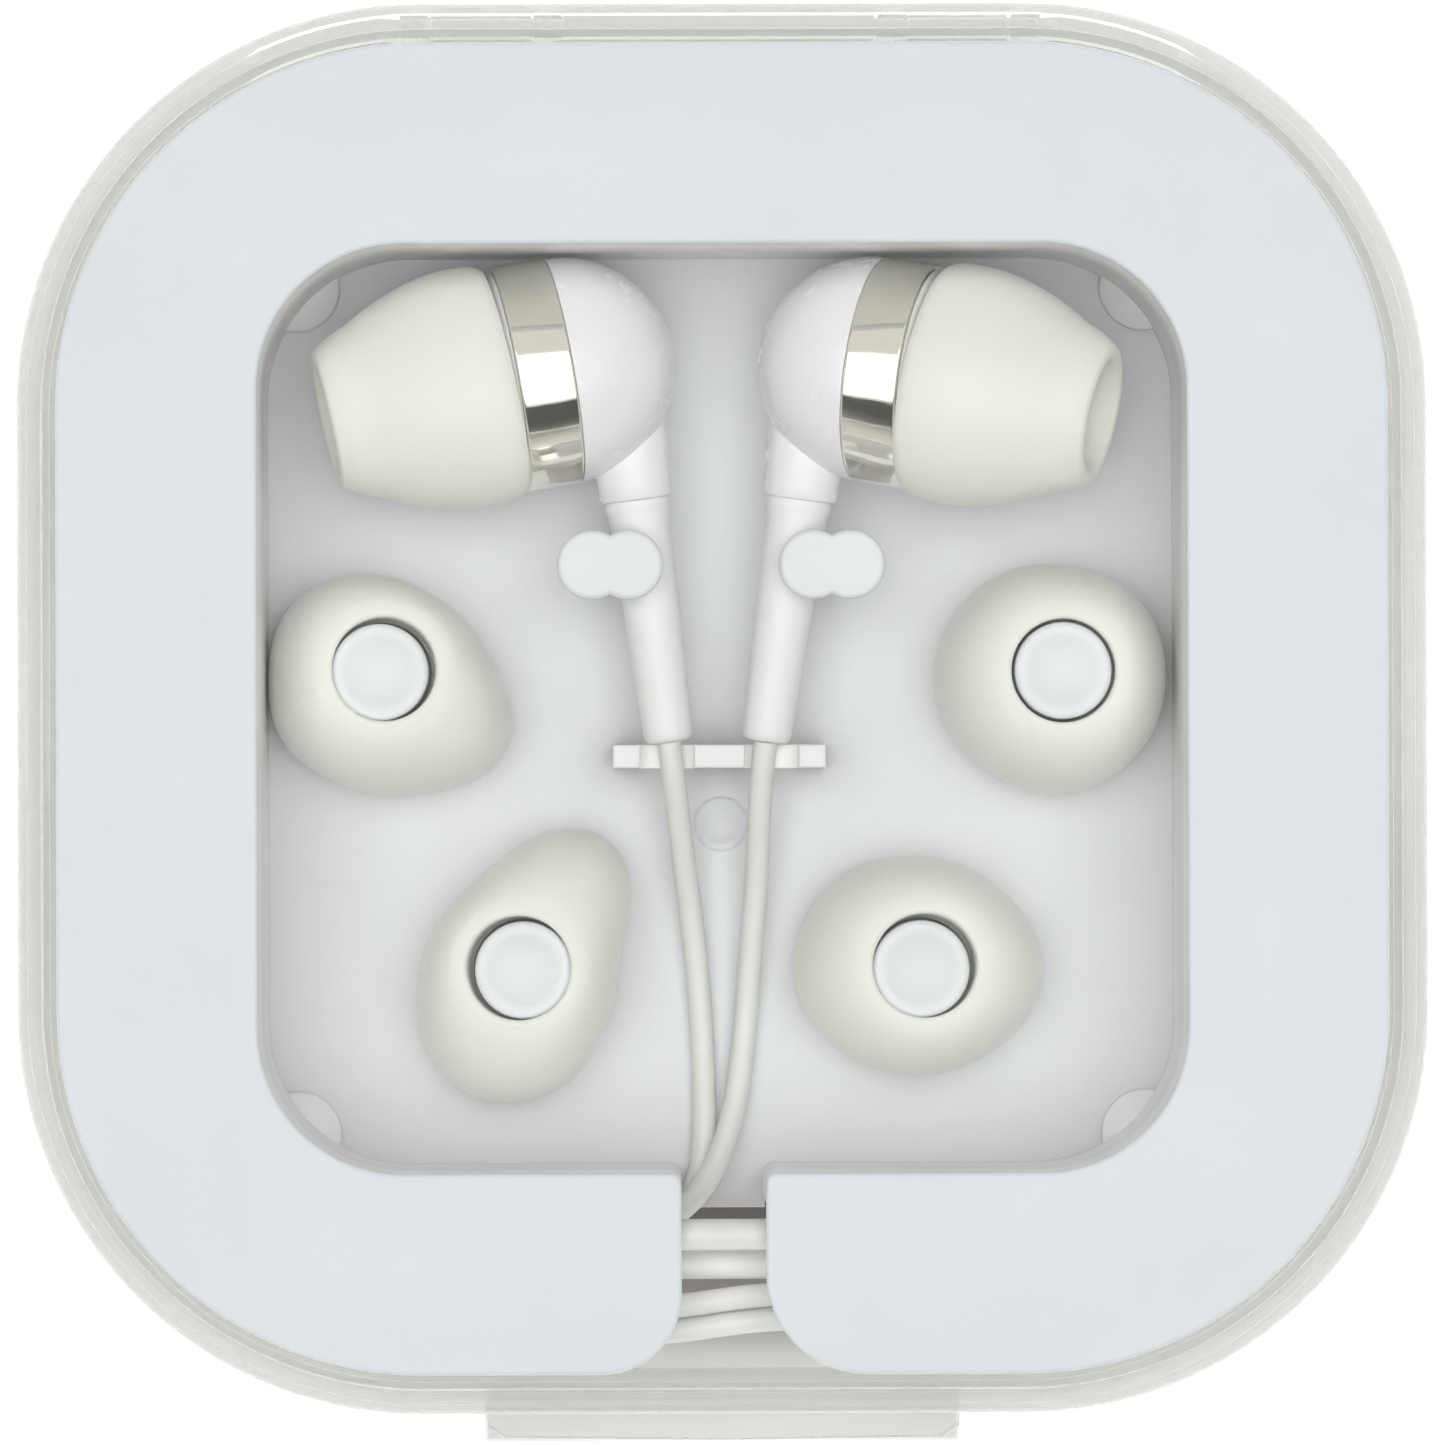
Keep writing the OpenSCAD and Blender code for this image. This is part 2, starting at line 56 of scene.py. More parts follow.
def placeCamera(plan):
    data = bpy.data.cameras.new("topCamera")
    data.sensor_width = 36
    data.lens = 36 * plan["distance"] / plan["width"]
    data.clip_start = 0.02
    data.clip_end = 20
    camera = bpy.data.objects.new("topCamera", data)
    scene.collection.objects.link(camera)
    eye = Vector((*plan["over"], plan["planeHeight"] + plan["distance"])) * mm
    target = Vector((*plan["aim"], plan["planeHeight"])) * mm
    back = (eye - target).normalized()
    right = Vector((0, 1, 0)).cross(back).normalized()
    turn = Matrix((right, back.cross(right), back)).transposed().to_4x4()
    camera.matrix_world = Matrix.Translation(eye) @ turn @ Matrix.Rotation(math.radians(plan["roll"]), 4, "Z")
    scene.camera = camera


placeCamera(cameraPlan)
print("camera placed")


def signedVolume(verts, faces):
    # a sixth of the sum of the corner products over a fan of triangles
    total = 0.0
    for face in faces:
        a = verts[face[0]]
        b = verts[np.asarray(face[1:-1])]
        c = verts[np.asarray(face[2:])]
        total += float(np.sum(np.cross(b, c) @ a))
    return total / 6


def outwards(part):
    verts, faces = part
    verts = np.asarray(verts, float)
    if signedVolume(verts - verts.mean(0), faces) < 0:
        faces = [face[::-1] for face in faces]
    return verts, faces


def gridFaces(rows, columns, wrapRows=False):
    # quads between neighbouring rows of a grid whose columns close on themselves
    r = np.arange(rows if wrapRows else rows - 1)[:, None]
    c = np.arange(columns)[None, :]
    below = (r + 1) % rows
    right = (c + 1) % columns
    quads = np.stack([r * columns + c, below * columns + c, below * columns + right, r * columns + right], -1)
    return quads.reshape(-1, 4).tolist()


def capped(rows, columns):
    faces = gridFaces(rows, columns)
    faces.append(list(range(columns)))
    faces.append([(rows - 1) * columns + k for k in reversed(range(columns))])
    return faces


def makePiece(name, parts, material, body, replaces=(), sharp=35):
    verts, faces, start = [], [], 0
    for part in parts:
        v, f = outwards(part)
        verts.append(v)
        faces += [[i + start for i in face] for face in f]
        start += len(v)
    mesh = bpy.data.meshes.new(name)
    mesh.from_pydata((np.concatenate(verts) * mm).tolist(), [], faces)
    work = bmesh.new()
    work.from_mesh(mesh)
    bmesh.ops.remove_doubles(work, verts=work.verts, dist=2e-6)
    bmesh.ops.dissolve_degenerate(work, dist=1e-6, edges=work.edges)
    work.to_mesh(mesh)
    work.free()
    mesh.polygons.foreach_set("use_smooth", [True] * len(mesh.polygons))
    mesh.set_sharp_from_angle(angle=math.radians(sharp))
    mesh.materials.append(material)
    piece = bpy.data.objects.new(name, mesh)
    scene.collection.objects.link(piece)
    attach(piece, body)
    if replaces:
        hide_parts(*replaces)
    return piece


def catmullRom(points, count):
    # cubic through each pair of points, with the neighbours' chord as its tangent
    p = np.asarray(points, float)
    s = np.linspace(0, len(p) - 1, count)
    i = np.minimum(s.astype(int), len(p) - 2)
    t = (s - i)[:, None]
    a, b, c, d = p[np.maximum(i - 1, 0)], p[i], p[i + 1], p[np.minimum(i + 2, len(p) - 1)]
    return 0.5 * (2 * b + (c - a) * t + (2 * a - 5 * b + 4 * c - d) * t**2 + (3 * b - a - 3 * c + d) * t**3)


def evenly(points, step):
    # the same line with its points a step apart
    p = np.asarray(points, float)
    s = np.concatenate([[0], np.cumsum(np.linalg.norm(np.diff(p, axis=0), axis=1))])
    marks = np.linspace(0, s[-1], max(int(s[-1] / step), 8))
    return np.stack([np.interp(marks, s, p[:, k]) for k in range(3)], 1)


def lineLength(points):
    return float(np.linalg.norm(np.diff(points, axis=0), axis=1).sum())


def tube(points, radius, sides=14):
    # a circle carried along the line, square to it, with its top held towards +Z
    p = np.asarray(points, float)
    along = np.gradient(p, axis=0)
    along /= np.linalg.norm(along, axis=1, keepdims=True)
    side = np.cross(along, [0, 0, 1])
    side /= np.linalg.norm(side, axis=1, keepdims=True)
    up = np.cross(side, along)
    angle = np.linspace(0, tau, sides, endpoint=False)
    r = np.broadcast_to(np.asarray(radius, float), (len(p),))[:, None, None]
    ring = np.cos(angle)[None, :, None] * side[:, None] + np.sin(angle)[None, :, None] * up[:, None]
    return (p[:, None] + r * ring).reshape(-1, 3), capped(len(p), sides)


def axisFrame(direction):
    z = np.asarray(direction, float) / np.linalg.norm(direction)
    x = np.cross([0, 0, 1] if abs(z[2]) < 0.9 else [0, 1, 0], z)
    x /= np.linalg.norm(x)
    return np.stack([x, np.cross(z, x), z])


def revolve(profile, origin=(0, 0, 0), direction=(0, 0, 1), sides=96, closed=True, shape=None):
    # each profile point (radius, height) runs round the axis; shape may push points out of round
    p = np.asarray(profile, float)
    angle = np.linspace(0, tau, sides, endpoint=False)
    local = np.stack([p[:, :1] * np.cos(angle), p[:, :1] * np.sin(angle), np.repeat(p[:, 1:2], sides, 1)], -1)
    if shape is not None:
        local = shape(local, angle, p)
    verts = local.reshape(-1, 3) @ axisFrame(direction) + np.asarray(origin, float)
    faces = gridFaces(len(p), sides, wrapRows=True) if closed else capped(len(p), sides)
    return verts, faces


def arc(centre, radius, start, end, count):
    a = np.radians(np.linspace(start, end, count))
    return np.stack([centre[0] + radius * np.cos(a), centre[1] + radius * np.sin(a)], 1)


def prism(outline, rows):
    # the outline is drawn in by each row's inset, along its own normals, at that row's height
    p = np.asarray(outline, float)
    before, after = p - np.roll(p, 1, 0), np.roll(p, -1, 0) - p
    before /= np.linalg.norm(before, axis=1, keepdims=True)
    after /= np.linalg.norm(after, axis=1, keepdims=True)
    normal = np.stack([(before + after)[:, 1], -(before + after)[:, 0]], 1)
    normal /= np.linalg.norm(normal, axis=1, keepdims=True)
    miter = 1 / np.maximum(np.sum(normal * np.stack([after[:, 1], -after[:, 0]], 1), 1, keepdims=True), 0.5)
    verts = [np.column_stack([p - normal * miter * inset, np.full(len(p), z)]) for inset, z in rows]
    return np.concatenate(verts), capped(len(rows), len(p))


def softRows(low, high, round=0.25, steps=4, base=False):
    a = np.linspace(0, math.pi / 2, steps + 1)
    top = [(round * (1 - math.cos(k)), high - round * (1 - math.sin(k))) for k in a]
    rounded = [(round * (1 - math.cos(k)), low + round * (1 - math.sin(k))) for k in a[::-1]]
    foot = rounded if base else [(0, low)]
    return foot + top


def roundSquare(half, radius, steps=20):
    c = half - radius
    corners = [((c, -c), -90), ((c, c), 0), ((-c, c), 90), ((-c, -c), 180)]
    return np.concatenate([arc(at, radius, a, a + 90, steps) for at, a in corners])


def slab(x0, x1, y0, y1, low, high, round=0.12):
    return prism([(x0, y0), (x1, y0), (x1, y1), (x0, y1)], softRows(low, high, round, 3))


def nodeMaterial(name, color, roughness, **values):
    material = bpy.data.materials.new(name)
    material.use_nodes = True
    shader = material.node_tree.nodes["Principled BSDF"]
    shader.inputs["Base Color"].default_value = (*color, 1)
    shader.inputs["Roughness"].default_value = roughness
    for key, value in values.items():
        shader.inputs[key].default_value = value
    return material, material.node_tree, shader


def noise(tree, scale, detail=3.0, roughness=0.55, stretch=(1, 1, 1)):
    place = tree.nodes.new("ShaderNodeTexCoord")
    mapping = tree.nodes.new("ShaderNodeMapping")
    mapping.inputs["Scale"].default_value = stretch
    texture = tree.nodes.new("ShaderNodeTexNoise")
    texture.inputs["Scale"].default_value = scale
    texture.inputs["Detail"].default_value = detail
    texture.inputs["Roughness"].default_value = roughness
    tree.links.new(place.outputs["Object"], mapping.inputs["Vector"])
    tree.links.new(mapping.outputs["Vector"], texture.inputs["Vector"])
    return texture.outputs["Fac"]


def mapRange(tree, source, low, high):
    node = tree.nodes.new("ShaderNodeMapRange")
    node.inputs["From Min"].default_value = 0.3
    node.inputs["From Max"].default_value = 0.7
    node.inputs["To Min"].default_value = low
    node.inputs["To Max"].default_value = high
    tree.links.new(source, node.inputs["Value"])
    return node.outputs["Result"]


def mottle(tree, shader, colorA, colorB, factor):
    ramp = tree.nodes.new("ShaderNodeValToRGB")
    ramp.color_ramp.elements[0].position = 0.3
    ramp.color_ramp.elements[1].position = 0.7
    ramp.color_ramp.elements[0].color = (*colorA, 1)
    ramp.color_ramp.elements[1].color = (*colorB, 1)
    tree.links.new(factor, ramp.inputs["Fac"])
    tree.links.new(ramp.outputs["Color"], shader.inputs["Base Color"])


def bump(tree, shader, height, distance, strength=1.0):
    node = tree.nodes.new("ShaderNodeBump")
    node.inputs["Distance"].default_value = distance
    node.inputs["Strength"].default_value = strength
    tree.links.new(height, node.inputs["Height"])
    tree.links.new(node.outputs["Normal"], shader.inputs["Normal"])


def moulded(name, colorA, colorB, gloss, grain, depth, mottleScale=120, **values):
    # a moulded surface: a slow change of tone, a fine grain, and a gloss that varies with it
    material, tree, shader = nodeMaterial(name, colorA, gloss, **values)
    mottle(tree, shader, colorA, colorB, noise(tree, mottleScale, 2))
    tree.links.new(mapRange(tree, noise(tree, grain * 0.4), gloss * 0.85, gloss * 1.2),
                   shader.inputs["Roughness"])
    bump(tree, shader, noise(tree, grain, 2), depth)
    return material


def trayPlastic():
    # one moulding whose tone changes with height, as painted light and shade: a darker floor as painted
    # shade, lighter, warmer pads, pegs and walls as painted bounce light, a darker, cooler band from about 12
    # to 13 mm, then the flange
    material, tree, shader = nodeMaterial("trayWhite", (0.7, 0.73, 0.76), 0.36)
    place = tree.nodes.new("ShaderNodeTexCoord")
    split = tree.nodes.new("ShaderNodeSeparateXYZ")
    level = tree.nodes.new("ShaderNodeMapRange")
    level.inputs["From Min"].default_value = 0.004
    level.inputs["From Max"].default_value = 0.02
    ramp = tree.nodes.new("ShaderNodeValToRGB")
    # the floor is painted darker as shade, and the pads, pegs and walls lighter and warmer as bounce light
    litAndShadedTones = ((0.06, (0.7, 0.71, 0.74)), (0.07, (0.86, 0.865, 0.88)), (0.12, (0.93, 0.91, 0.905)),
             (0.3, (0.93, 0.91, 0.905)), (0.5, (0.82, 0.84, 0.865)), (0.58, (0.82, 0.84, 0.865)),
             (0.78, (0.93, 0.91, 0.905)), (0.92, (0.93, 0.91, 0.905)), (0.945, (0.72, 0.76, 0.805)))
    ramp.color_ramp.elements[0].position = litAndShadedTones[0][0]
    ramp.color_ramp.elements[0].color = (*litAndShadedTones[0][1], 1)
    ramp.color_ramp.elements[1].position = litAndShadedTones[-1][0]
    ramp.color_ramp.elements[1].color = (*litAndShadedTones[-1][1], 1)
    for position, color in litAndShadedTones[1:-1]:
        ramp.color_ramp.elements.new(position).color = (*color, 1)
    cloud = tree.nodes.new("ShaderNodeMix")
    cloud.data_type = "RGBA"
    cloud.blend_type = "MULTIPLY"
    cloud.inputs["Factor"].default_value = 1.0
    grey = tree.nodes.new("ShaderNodeCombineColor")
    tree.links.new(place.outputs["Object"], split.inputs["Vector"])
    tree.links.new(split.outputs["Z"], level.inputs["Value"])
    tree.links.new(level.outputs["Result"], ramp.inputs["Fac"])
    shadeOf = mapRange(tree, noise(tree, 120, 2), 0.985, 1.015)
    for channel in ("Red", "Green", "Blue"):
        tree.links.new(shadeOf, grey.inputs[channel])
    tree.links.new(ramp.outputs["Color"], cloud.inputs["A"])
    tree.links.new(grey.outputs["Color"], cloud.inputs["B"])
    tree.links.new(cloud.outputs["Result"], shader.inputs["Base Color"])
    tree.links.new(mapRange(tree, noise(tree, 880), 0.31, 0.43), shader.inputs["Roughness"])
    bump(tree, shader, noise(tree, 2200, 2), 0.000008)
    return material


def clearPlastic():
    # clear moulding: mostly see-through, mirror-like by angle, and a little milky where it is seen edge on.
    # lamp light and bounced light pass straight through to what is inside
    material, tree, shader = nodeMaterial("clearPlastic", (0.97, 0.968, 0.95), 0.14, IOR=1.46,
                                         **{"Specular IOR Level": 0.3})
    through = tree.nodes.new("ShaderNodeBsdfTransparent")
    through.inputs["Color"].default_value = (0.985, 0.988, 0.984, 1)
    facing = tree.nodes.new("ShaderNodeLayerWeight")
    facing.inputs["Blend"].default_value = 0.5
    curve = tree.nodes.new("ShaderNodeMapRange")
    curve.interpolation_type = "SMOOTHERSTEP"
    curve.inputs["From Min"].default_value = 0.35
    curve.inputs["From Max"].default_value = 1.05
    curve.inputs["To Min"].default_value = 0.03
    curve.inputs["To Max"].default_value = 0.8
    path = tree.nodes.new("ShaderNodeLightPath")
    lamp = tree.nodes.new("ShaderNodeMath")
    lamp.operation = "MAXIMUM"
    solid = tree.nodes.new("ShaderNodeMixShader")
    mix = tree.nodes.new("ShaderNodeMixShader")
    tree.links.new(facing.outputs["Facing"], curve.inputs["Value"])
    tree.links.new(curve.outputs["Result"], solid.inputs["Fac"])
    tree.links.new(through.outputs["BSDF"], solid.inputs[1])
    tree.links.new(shader.outputs["BSDF"], solid.inputs[2])
    tree.links.new(path.outputs["Is Shadow Ray"], lamp.inputs[0])
    tree.links.new(path.outputs["Is Diffuse Ray"], lamp.inputs[1])
    tree.links.new(lamp.outputs["Value"], mix.inputs["Fac"])
    tree.links.new(solid.outputs["Shader"], mix.inputs[1])
    tree.links.new(through.outputs["BSDF"], mix.inputs[2])
    tree.links.new(mix.outputs["Shader"], tree.nodes["Material Output"].inputs["Surface"])
    return material


def chromePlate():
    material, tree, shader = nodeMaterial("chromePlate", (0.95, 0.925, 0.84), 0.07, Metallic=1.0)
    tree.links.new(mapRange(tree, noise(tree, 900, 2), 0.04, 0.12), shader.inputs["Roughness"])
    bump(tree, shader, noise(tree, 420, 1), 0.00002)
    return material


def silicone():
    material, tree, shader = nodeMaterial(
        "softSilicone", (0.885, 0.89, 0.815), 0.5,
        **{"Subsurface Weight": 0.2, "Subsurface Scale": 0.0008, "Specular IOR Level": 0.3,
           "Sheen Weight": 0.25, "Sheen Roughness": 0.5},
    )
    shader.inputs["Subsurface Radius"].default_value = (1.0, 0.95, 0.8)
    mottle(tree, shader, (0.91, 0.91, 0.84), (0.93, 0.928, 0.865), noise(tree, 150, 2))
    tree.links.new(mapRange(tree, noise(tree, 700, 2), 0.42, 0.56), shader.inputs["Roughness"])
    bump(tree, shader, noise(tree, 2600, 2), 0.000012)
    return material


def metal(name, color, roughness, scale, depth):
    material, tree, shader = nodeMaterial(name, color, roughness, Metallic=1.0)
    tree.links.new(mapRange(tree, noise(tree, scale), roughness * 0.7, roughness * 1.4),
                   shader.inputs["Roughness"])
    bump(tree, shader, noise(tree, scale * 2, 2, stretch=(1, 1, 6)), depth)
    return material


trayWhite = trayPlastic()
glossWhite = moulded("glossWhite", (0.93, 0.932, 0.94), (0.94, 0.942, 0.95), 0.24, 1500, 0.000004)
stemWhite = moulded("stemWhite", (0.91, 0.91, 0.915), (0.925, 0.925, 0.93), 0.4, 1900, 0.000008)
jacket = moulded("cordJacket", (0.77, 0.768, 0.745), (0.8, 0.798, 0.775), 0.42, 1700, 0.000012, 300)
clearShell = clearPlastic()
chrome = chromePlate()
softTip = silicone()
nickel = metal("nickelPlate", (0.74, 0.72, 0.68), 0.16, 800, 0.000004)
pressedSteel = metal("pressedSteel", (0.56, 0.57, 0.58), 0.32, 900, 0.00001)
magnetMetal = metal("magnetMetal", (0.46, 0.47, 0.49), 0.4, 1300, 0.000015)
copper = metal("copperWire", (0.72, 0.35, 0.2), 0.3, 4000, 0.00002)
meshSteel = metal("meshSteel", (0.6, 0.61, 0.62), 0.35, 5000, 0.00003)
darkMoulding = moulded("darkMoulding", (0.03, 0.03, 0.033), (0.045, 0.045, 0.05), 0.5, 2000, 0.00001)
filmPlastic = moulded("filmPlastic", (0.7, 0.7, 0.66), (0.76, 0.76, 0.71), 0.25, 2500, 0.00001)
feltDisc = moulded("feltDisc", (0.6, 0.6, 0.58), (0.72, 0.72, 0.7), 0.9, 4000, 0.00006)
boardGreen = moulded("boardGreen", (0.03, 0.16, 0.07), (0.05, 0.22, 0.1), 0.4, 3000, 0.00001)
print("materials made")


windingPlan = {
    "half": 26.0,             # middle of the reference turn, from the tray's centre
    "corner": 10.4,
    "branchDiameter": 1.2,
    "mainDiameter": 1.5,
}
leftRoute = [
    (-2.64, -1.6, 8.9), (-2.4, -3.6, 8.7), (-2.1, -6, 7.7), (-1.8, -8.6, 6.6), (-1.4, -11.5, 5.6),
    (-1.1, -15, 5.1), (-0.9, -18.5, 5.1), (-0.9, -21.5, 5.1), (-1, -23.6, 5.1),
    (-1.5, -25, 5.3), (-2.9, -25.8, 5.5), (-5, -26.1, 6), (-8, -26.3, 7.4), (-11, -26.5, 9.2),
    (-13.5, -26.6, 10.6)]
rightRoute = [
    (2.27, -1.6, 8.9), (2, -3.6, 8.6), (1.9, -6, 7.8), (1.8, -9, 6.8), (1.5, -12, 5.9),
    (1.3, -15, 5.4), (1, -18, 5.3), (0.5, -21, 5.8), (-0.3, -23.2, 6.5),
    (-1.3, -24.9, 6.8), (-2.8, -26, 7.1), (-4.8, -26.8, 7.6), (-7.5, -27.4, 8.8),
    (-10, -27.6, 10.2), (-11, -27.6, 10.6)]
mainRoute = [
    (29.4, 16.05, 4.2), (29.4, 18.2, 4.3), (29, 20.6, 4.9), (27.8, 23.2, 5.9),
    (25.6, 25.8, 7.2), (22.6, 27.8, 8.8), (19, 28.8, 10.4), (16.4, 29.1, 11.4), (13.6, 29.2, 12.1)]
splitterPlan = {"at": (-31.2, -4.0, 14.4), "radius": 2.1, "length": 11.0}


def wound(turns, out, height, start, end):
    # follows a rounded square clockwise from the front's middle; one turn is one lap. out and height
    # are given at the laps in turns and eased between them
    half, corner = windingPlan["half"], windingPlan["corner"]
    flat = half - corner
    loop = np.concatenate([
        [(0, -half)], arc((-flat, -flat), corner, 270, 180, 24), arc((-flat, flat), corner, 180, 90, 24),
        arc((flat, flat), corner, 90, 0, 24), arc((flat, -flat), corner, 0, -90, 24), [(0, -half)]])
    normal = np.concatenate([
        [(0, -1)], arc((0, 0), 1, 270, 180, 24), arc((0, 0), 1, 180, 90, 24), arc((0, 0), 1, 90, 0, 24),
        arc((0, 0), 1, 0, -90, 24), [(0, -1)]])
    s = np.concatenate([[0], np.cumsum(np.linalg.norm(np.diff(loop, axis=0), axis=1))])
    t = np.arange(start, end, 1.0 / s[-1])
    where = (t % 1.0) * s[-1]
    xy = np.stack([np.interp(where, s, loop[:, k]) for k in (0, 1)], 1)
    n = np.stack([np.interp(where, s, normal[:, k]) for k in (0, 1)], 1)
    n /= np.linalg.norm(n, axis=1, keepdims=True)
    ease = lambda values: smoothSteps(t, turns, values)
    return np.column_stack([xy + n * (ease(out) - half)[:, None], ease(height)])


def smoothSteps(t, marks, values):
    # between two marks the value follows a half cosine
    i = np.clip(np.searchsorted(marks, t, side="right") - 1, 0, len(marks) - 2)
    m, v = np.asarray(marks, float), np.asarray(values, float)
    f = np.clip((t - m[i]) / (m[i + 1] - m[i]), 0, 1)
    return v[i] + (v[i + 1] - v[i]) * (0.5 - 0.5 * np.cos(math.pi * f))


def joinRoutes(*routes):
    # the stretches in order, then a light smoothing of the joints
    line = evenly(np.concatenate([np.asarray(r, float) for r in routes]), 0.5)
    for _ in range(12):
        line[1:-1] = (line[:-2] + 2 * line[1:-1] + line[2:]) / 4
    return evenly(line, 0.9)


windTurns = {
    "left": ([0.085, 0.16, 0.80, 0.92, 0.985, 1.02, 1.09, 1.2, 1.23],
             [26.6, 26.1, 26.1, 29.05, 29.32, 30.05, 30.55, 30.6, 30.6],
             [10.9, 11.2, 11.2, 11.4, 14.9, 15.2, 14.9, 14.4, 14.4]),
    "right": ([0.073, 0.16, 0.76, 0.90, 0.985, 1.02, 1.09, 1.2, 1.23],
              [27.6, 27.5, 27.5, 30.3, 30.57, 31.3, 31.8, 31.8, 31.8],
              [10.8, 11.2, 11.2, 11.6, 14.6, 14.9, 14.7, 14.4, 14.4]),
    "main": ([0.29, 0.30, 0.36, 0.45, 1.0, 1.5, 2.0, 2.15, 2.45, 3.0, 3.5, 4.0, 4.06, 4.28, 4.40, 4.555,
              4.57],
             [31.2, 31.2, 29.6, 27.82, 27.82, 27.82, 27.82, 27.82, 26.25, 26.25, 26.25, 26.25, 26.35, 29.1,
              29.35, 29.35, 29.3],
             [14.4, 14.4, 12.9, 12.6, 13.45, 14.2, 15.0, 15.2, 15.5, 16.4, 17.15, 17.95, 18.0, 18.0, 17.5,
              12.4, 12.3]),
}

splitterMid = np.array(splitterPlan["at"])
leftEnd = [splitterMid + (0.6, -1.5, 0), splitterMid + (0.6, 0.3, 0)]
rightEnd = [splitterMid + (-0.6, -1.5, 0), splitterMid + (-0.6, 0.3, 0)]
splitterOut = splitterMid + (0, splitterPlan["length"], 0)
leftLine = joinRoutes(catmullRom(leftRoute, 60), wound(*windTurns["left"], 0.095, 1.215), leftEnd)
rightLine = joinRoutes(catmullRom(rightRoute, 60), wound(*windTurns["right"], 0.08, 1.215), rightEnd)
mainLine = joinRoutes(
    [splitterOut - (0, 0.3, 0), splitterOut + (0, 1.2, 0)], wound(*windTurns["main"], 0.31, 4.55),
    catmullRom(mainRoute[::-1], 50))
branchRadius = windingPlan["branchDiameter"] / 2
mainRadius = windingPlan["mainDiameter"] / 2

leftCord = makePiece("leftCord", [tube(leftLine, branchRadius)], jacket, "case",
                     ["left_cord", "cable_winding"])
rightCord = makePiece("rightCord", [tube(rightLine, branchRadius)], jacket, "case",
                      ["right_cord"])
mainCord = makePiece("mainCord", [tube(mainLine, mainRadius, 16)], jacket, "case",
                     ["main_cord"])


def splitterPiece():
    # a lozenge with a waist line, tapered to the main cable
    r, length = splitterPlan["radius"], splitterPlan["length"]
    profile = [(1.25, 0.0), (1.55, 0.12), (1.95, 1.3), (r, 2.2), (r, 3.4), (r - 0.14, 3.5), (r - 0.14, 3.7),
               (r, 3.8), (r, 7.4), (r - 0.2, 8.6), (1.35, 10.4), (1.12, length - 0.1), (0.95, length)]
    return makePiece("cableSplitter", [revolve(profile, splitterPlan["at"], (0, 1, 0), 64, False)],
                     glossWhite,
                     "case", ["cable_splitter"])


splitter = splitterPiece()


def plugBody():
    # grip with a flared shoulder, finger grooves and a ribbed strain relief
    front, back = 14.0, -8.0
    grooves = [(3.0 - 0.22 * (k % 2), 3.0 + 0.5 * k) for k in range(12)]
    relief = [(1.15 + 0.16 * k - 0.12 * (j == 1), back + 0.9 * k + 0.45 * j)
              for k in range(8) for j in (0, 1)]
    profile = [(0.85, back), (1.15, back + 0.02)] + relief[1:] + [(2.6, 0), (2.95, 0.4), (3.0, 2.5)] + grooves
    profile += [(3.0, 9.4), (2.9, 12.6), (2.6, front - 0.5), (2.3, front - 0.4), (1.8, front - 0.4)]
    return makePiece("plugBody", [revolve(profile, (29.4, 8, 4.2), (0, -1, 0), 72, False)], glossWhite,
                     "case",
                     ["plug_body"])


plug = plugBody()
print("cords", [round(lineLength(x)) for x in (leftLine, rightLine, mainLine)], "mm")


casePlan = {
    "half": 35.0, "corner": 20.0, "height": 22.0, "split": 12.0, "wall": 1.2, "edge": 2.0,
    "lip": 1.0, "tabHalf": 11.9, "tabOut": 1.85, "tabLow": 9.5, "hingeX": 12.0, "earX": 3.35, "earHalf": 0.85,
    "relief": 2.1, "reliefHalf": 23.35, "hingeY": 33.6,
}
casePlan["earSpans"] = [
    (s * casePlan["hingeX"] + e * casePlan["earX"]) for s in (-1, 1) for e in (-1, 1)]


def caseLine():
    # the square that the corner arcs are centred on, and the outward normal at each of its points
    flat = casePlan["half"] - casePlan["corner"]
    ears = [x + k * (casePlan["earHalf"] + d)
            for x in casePlan["earSpans"] for k in (-1, 1) for d in (0, 0.02)]
    tab = [k * (casePlan["tabHalf"] - inset) for inset in (0, 0.02, 0.9) for k in (-1, 1)]
    plain = np.linspace(-flat, flat, 25)
    rear = np.unique(np.round(np.concatenate([plain, [x for x in ears if abs(x) < flat]]), 4))
    fore = np.unique(np.round(np.concatenate([plain, tab]), 4))
    turn = np.radians(np.unique(np.concatenate([np.linspace(0, 90, 31)[1:-1], [65.6, 65.8]])))
    rows = []
    for k, side in enumerate((plain, rear[::-1], plain[::-1], fore)):
        at = [(flat, y) for y in side] if k == 0 else [(x, flat) for x in side] if k == 1 else \
            [(-flat, y) for y in side] if k == 2 else [(x, -flat) for x in side]
        a = math.radians(90 * k)
        rows += [(x, y, math.cos(a), math.sin(a)) for x, y in at]
        sx, sy = ((1, 1), (-1, 1), (-1, -1), (1, -1))[k]
        angles = turn if k in (0, 2) else math.pi / 2 - turn[::-1]
        rows += [(sx * flat, sy * flat, math.cos(a + b), math.sin(a + b)) for b in angles]
    rows = np.array(rows)
    return rows[:, :2], rows[:, 2:]


caseAt, caseNormal = caseLine()


def shellPoints(rows):
    # each row is the case's outline drawn in by its inset, at its height
    rows = np.array(rows)
    reach = (casePlan["corner"] - rows[:, :1])[:, :, None]
    xy = caseAt[None] + caseNormal[None] * reach
    z = np.repeat(rows[:, 1:2], len(caseAt), 1)
    return np.concatenate([xy, z[:, :, None]], -1)


def onlyBetween(values, low, high):
    return (values >= low) & (values <= high)


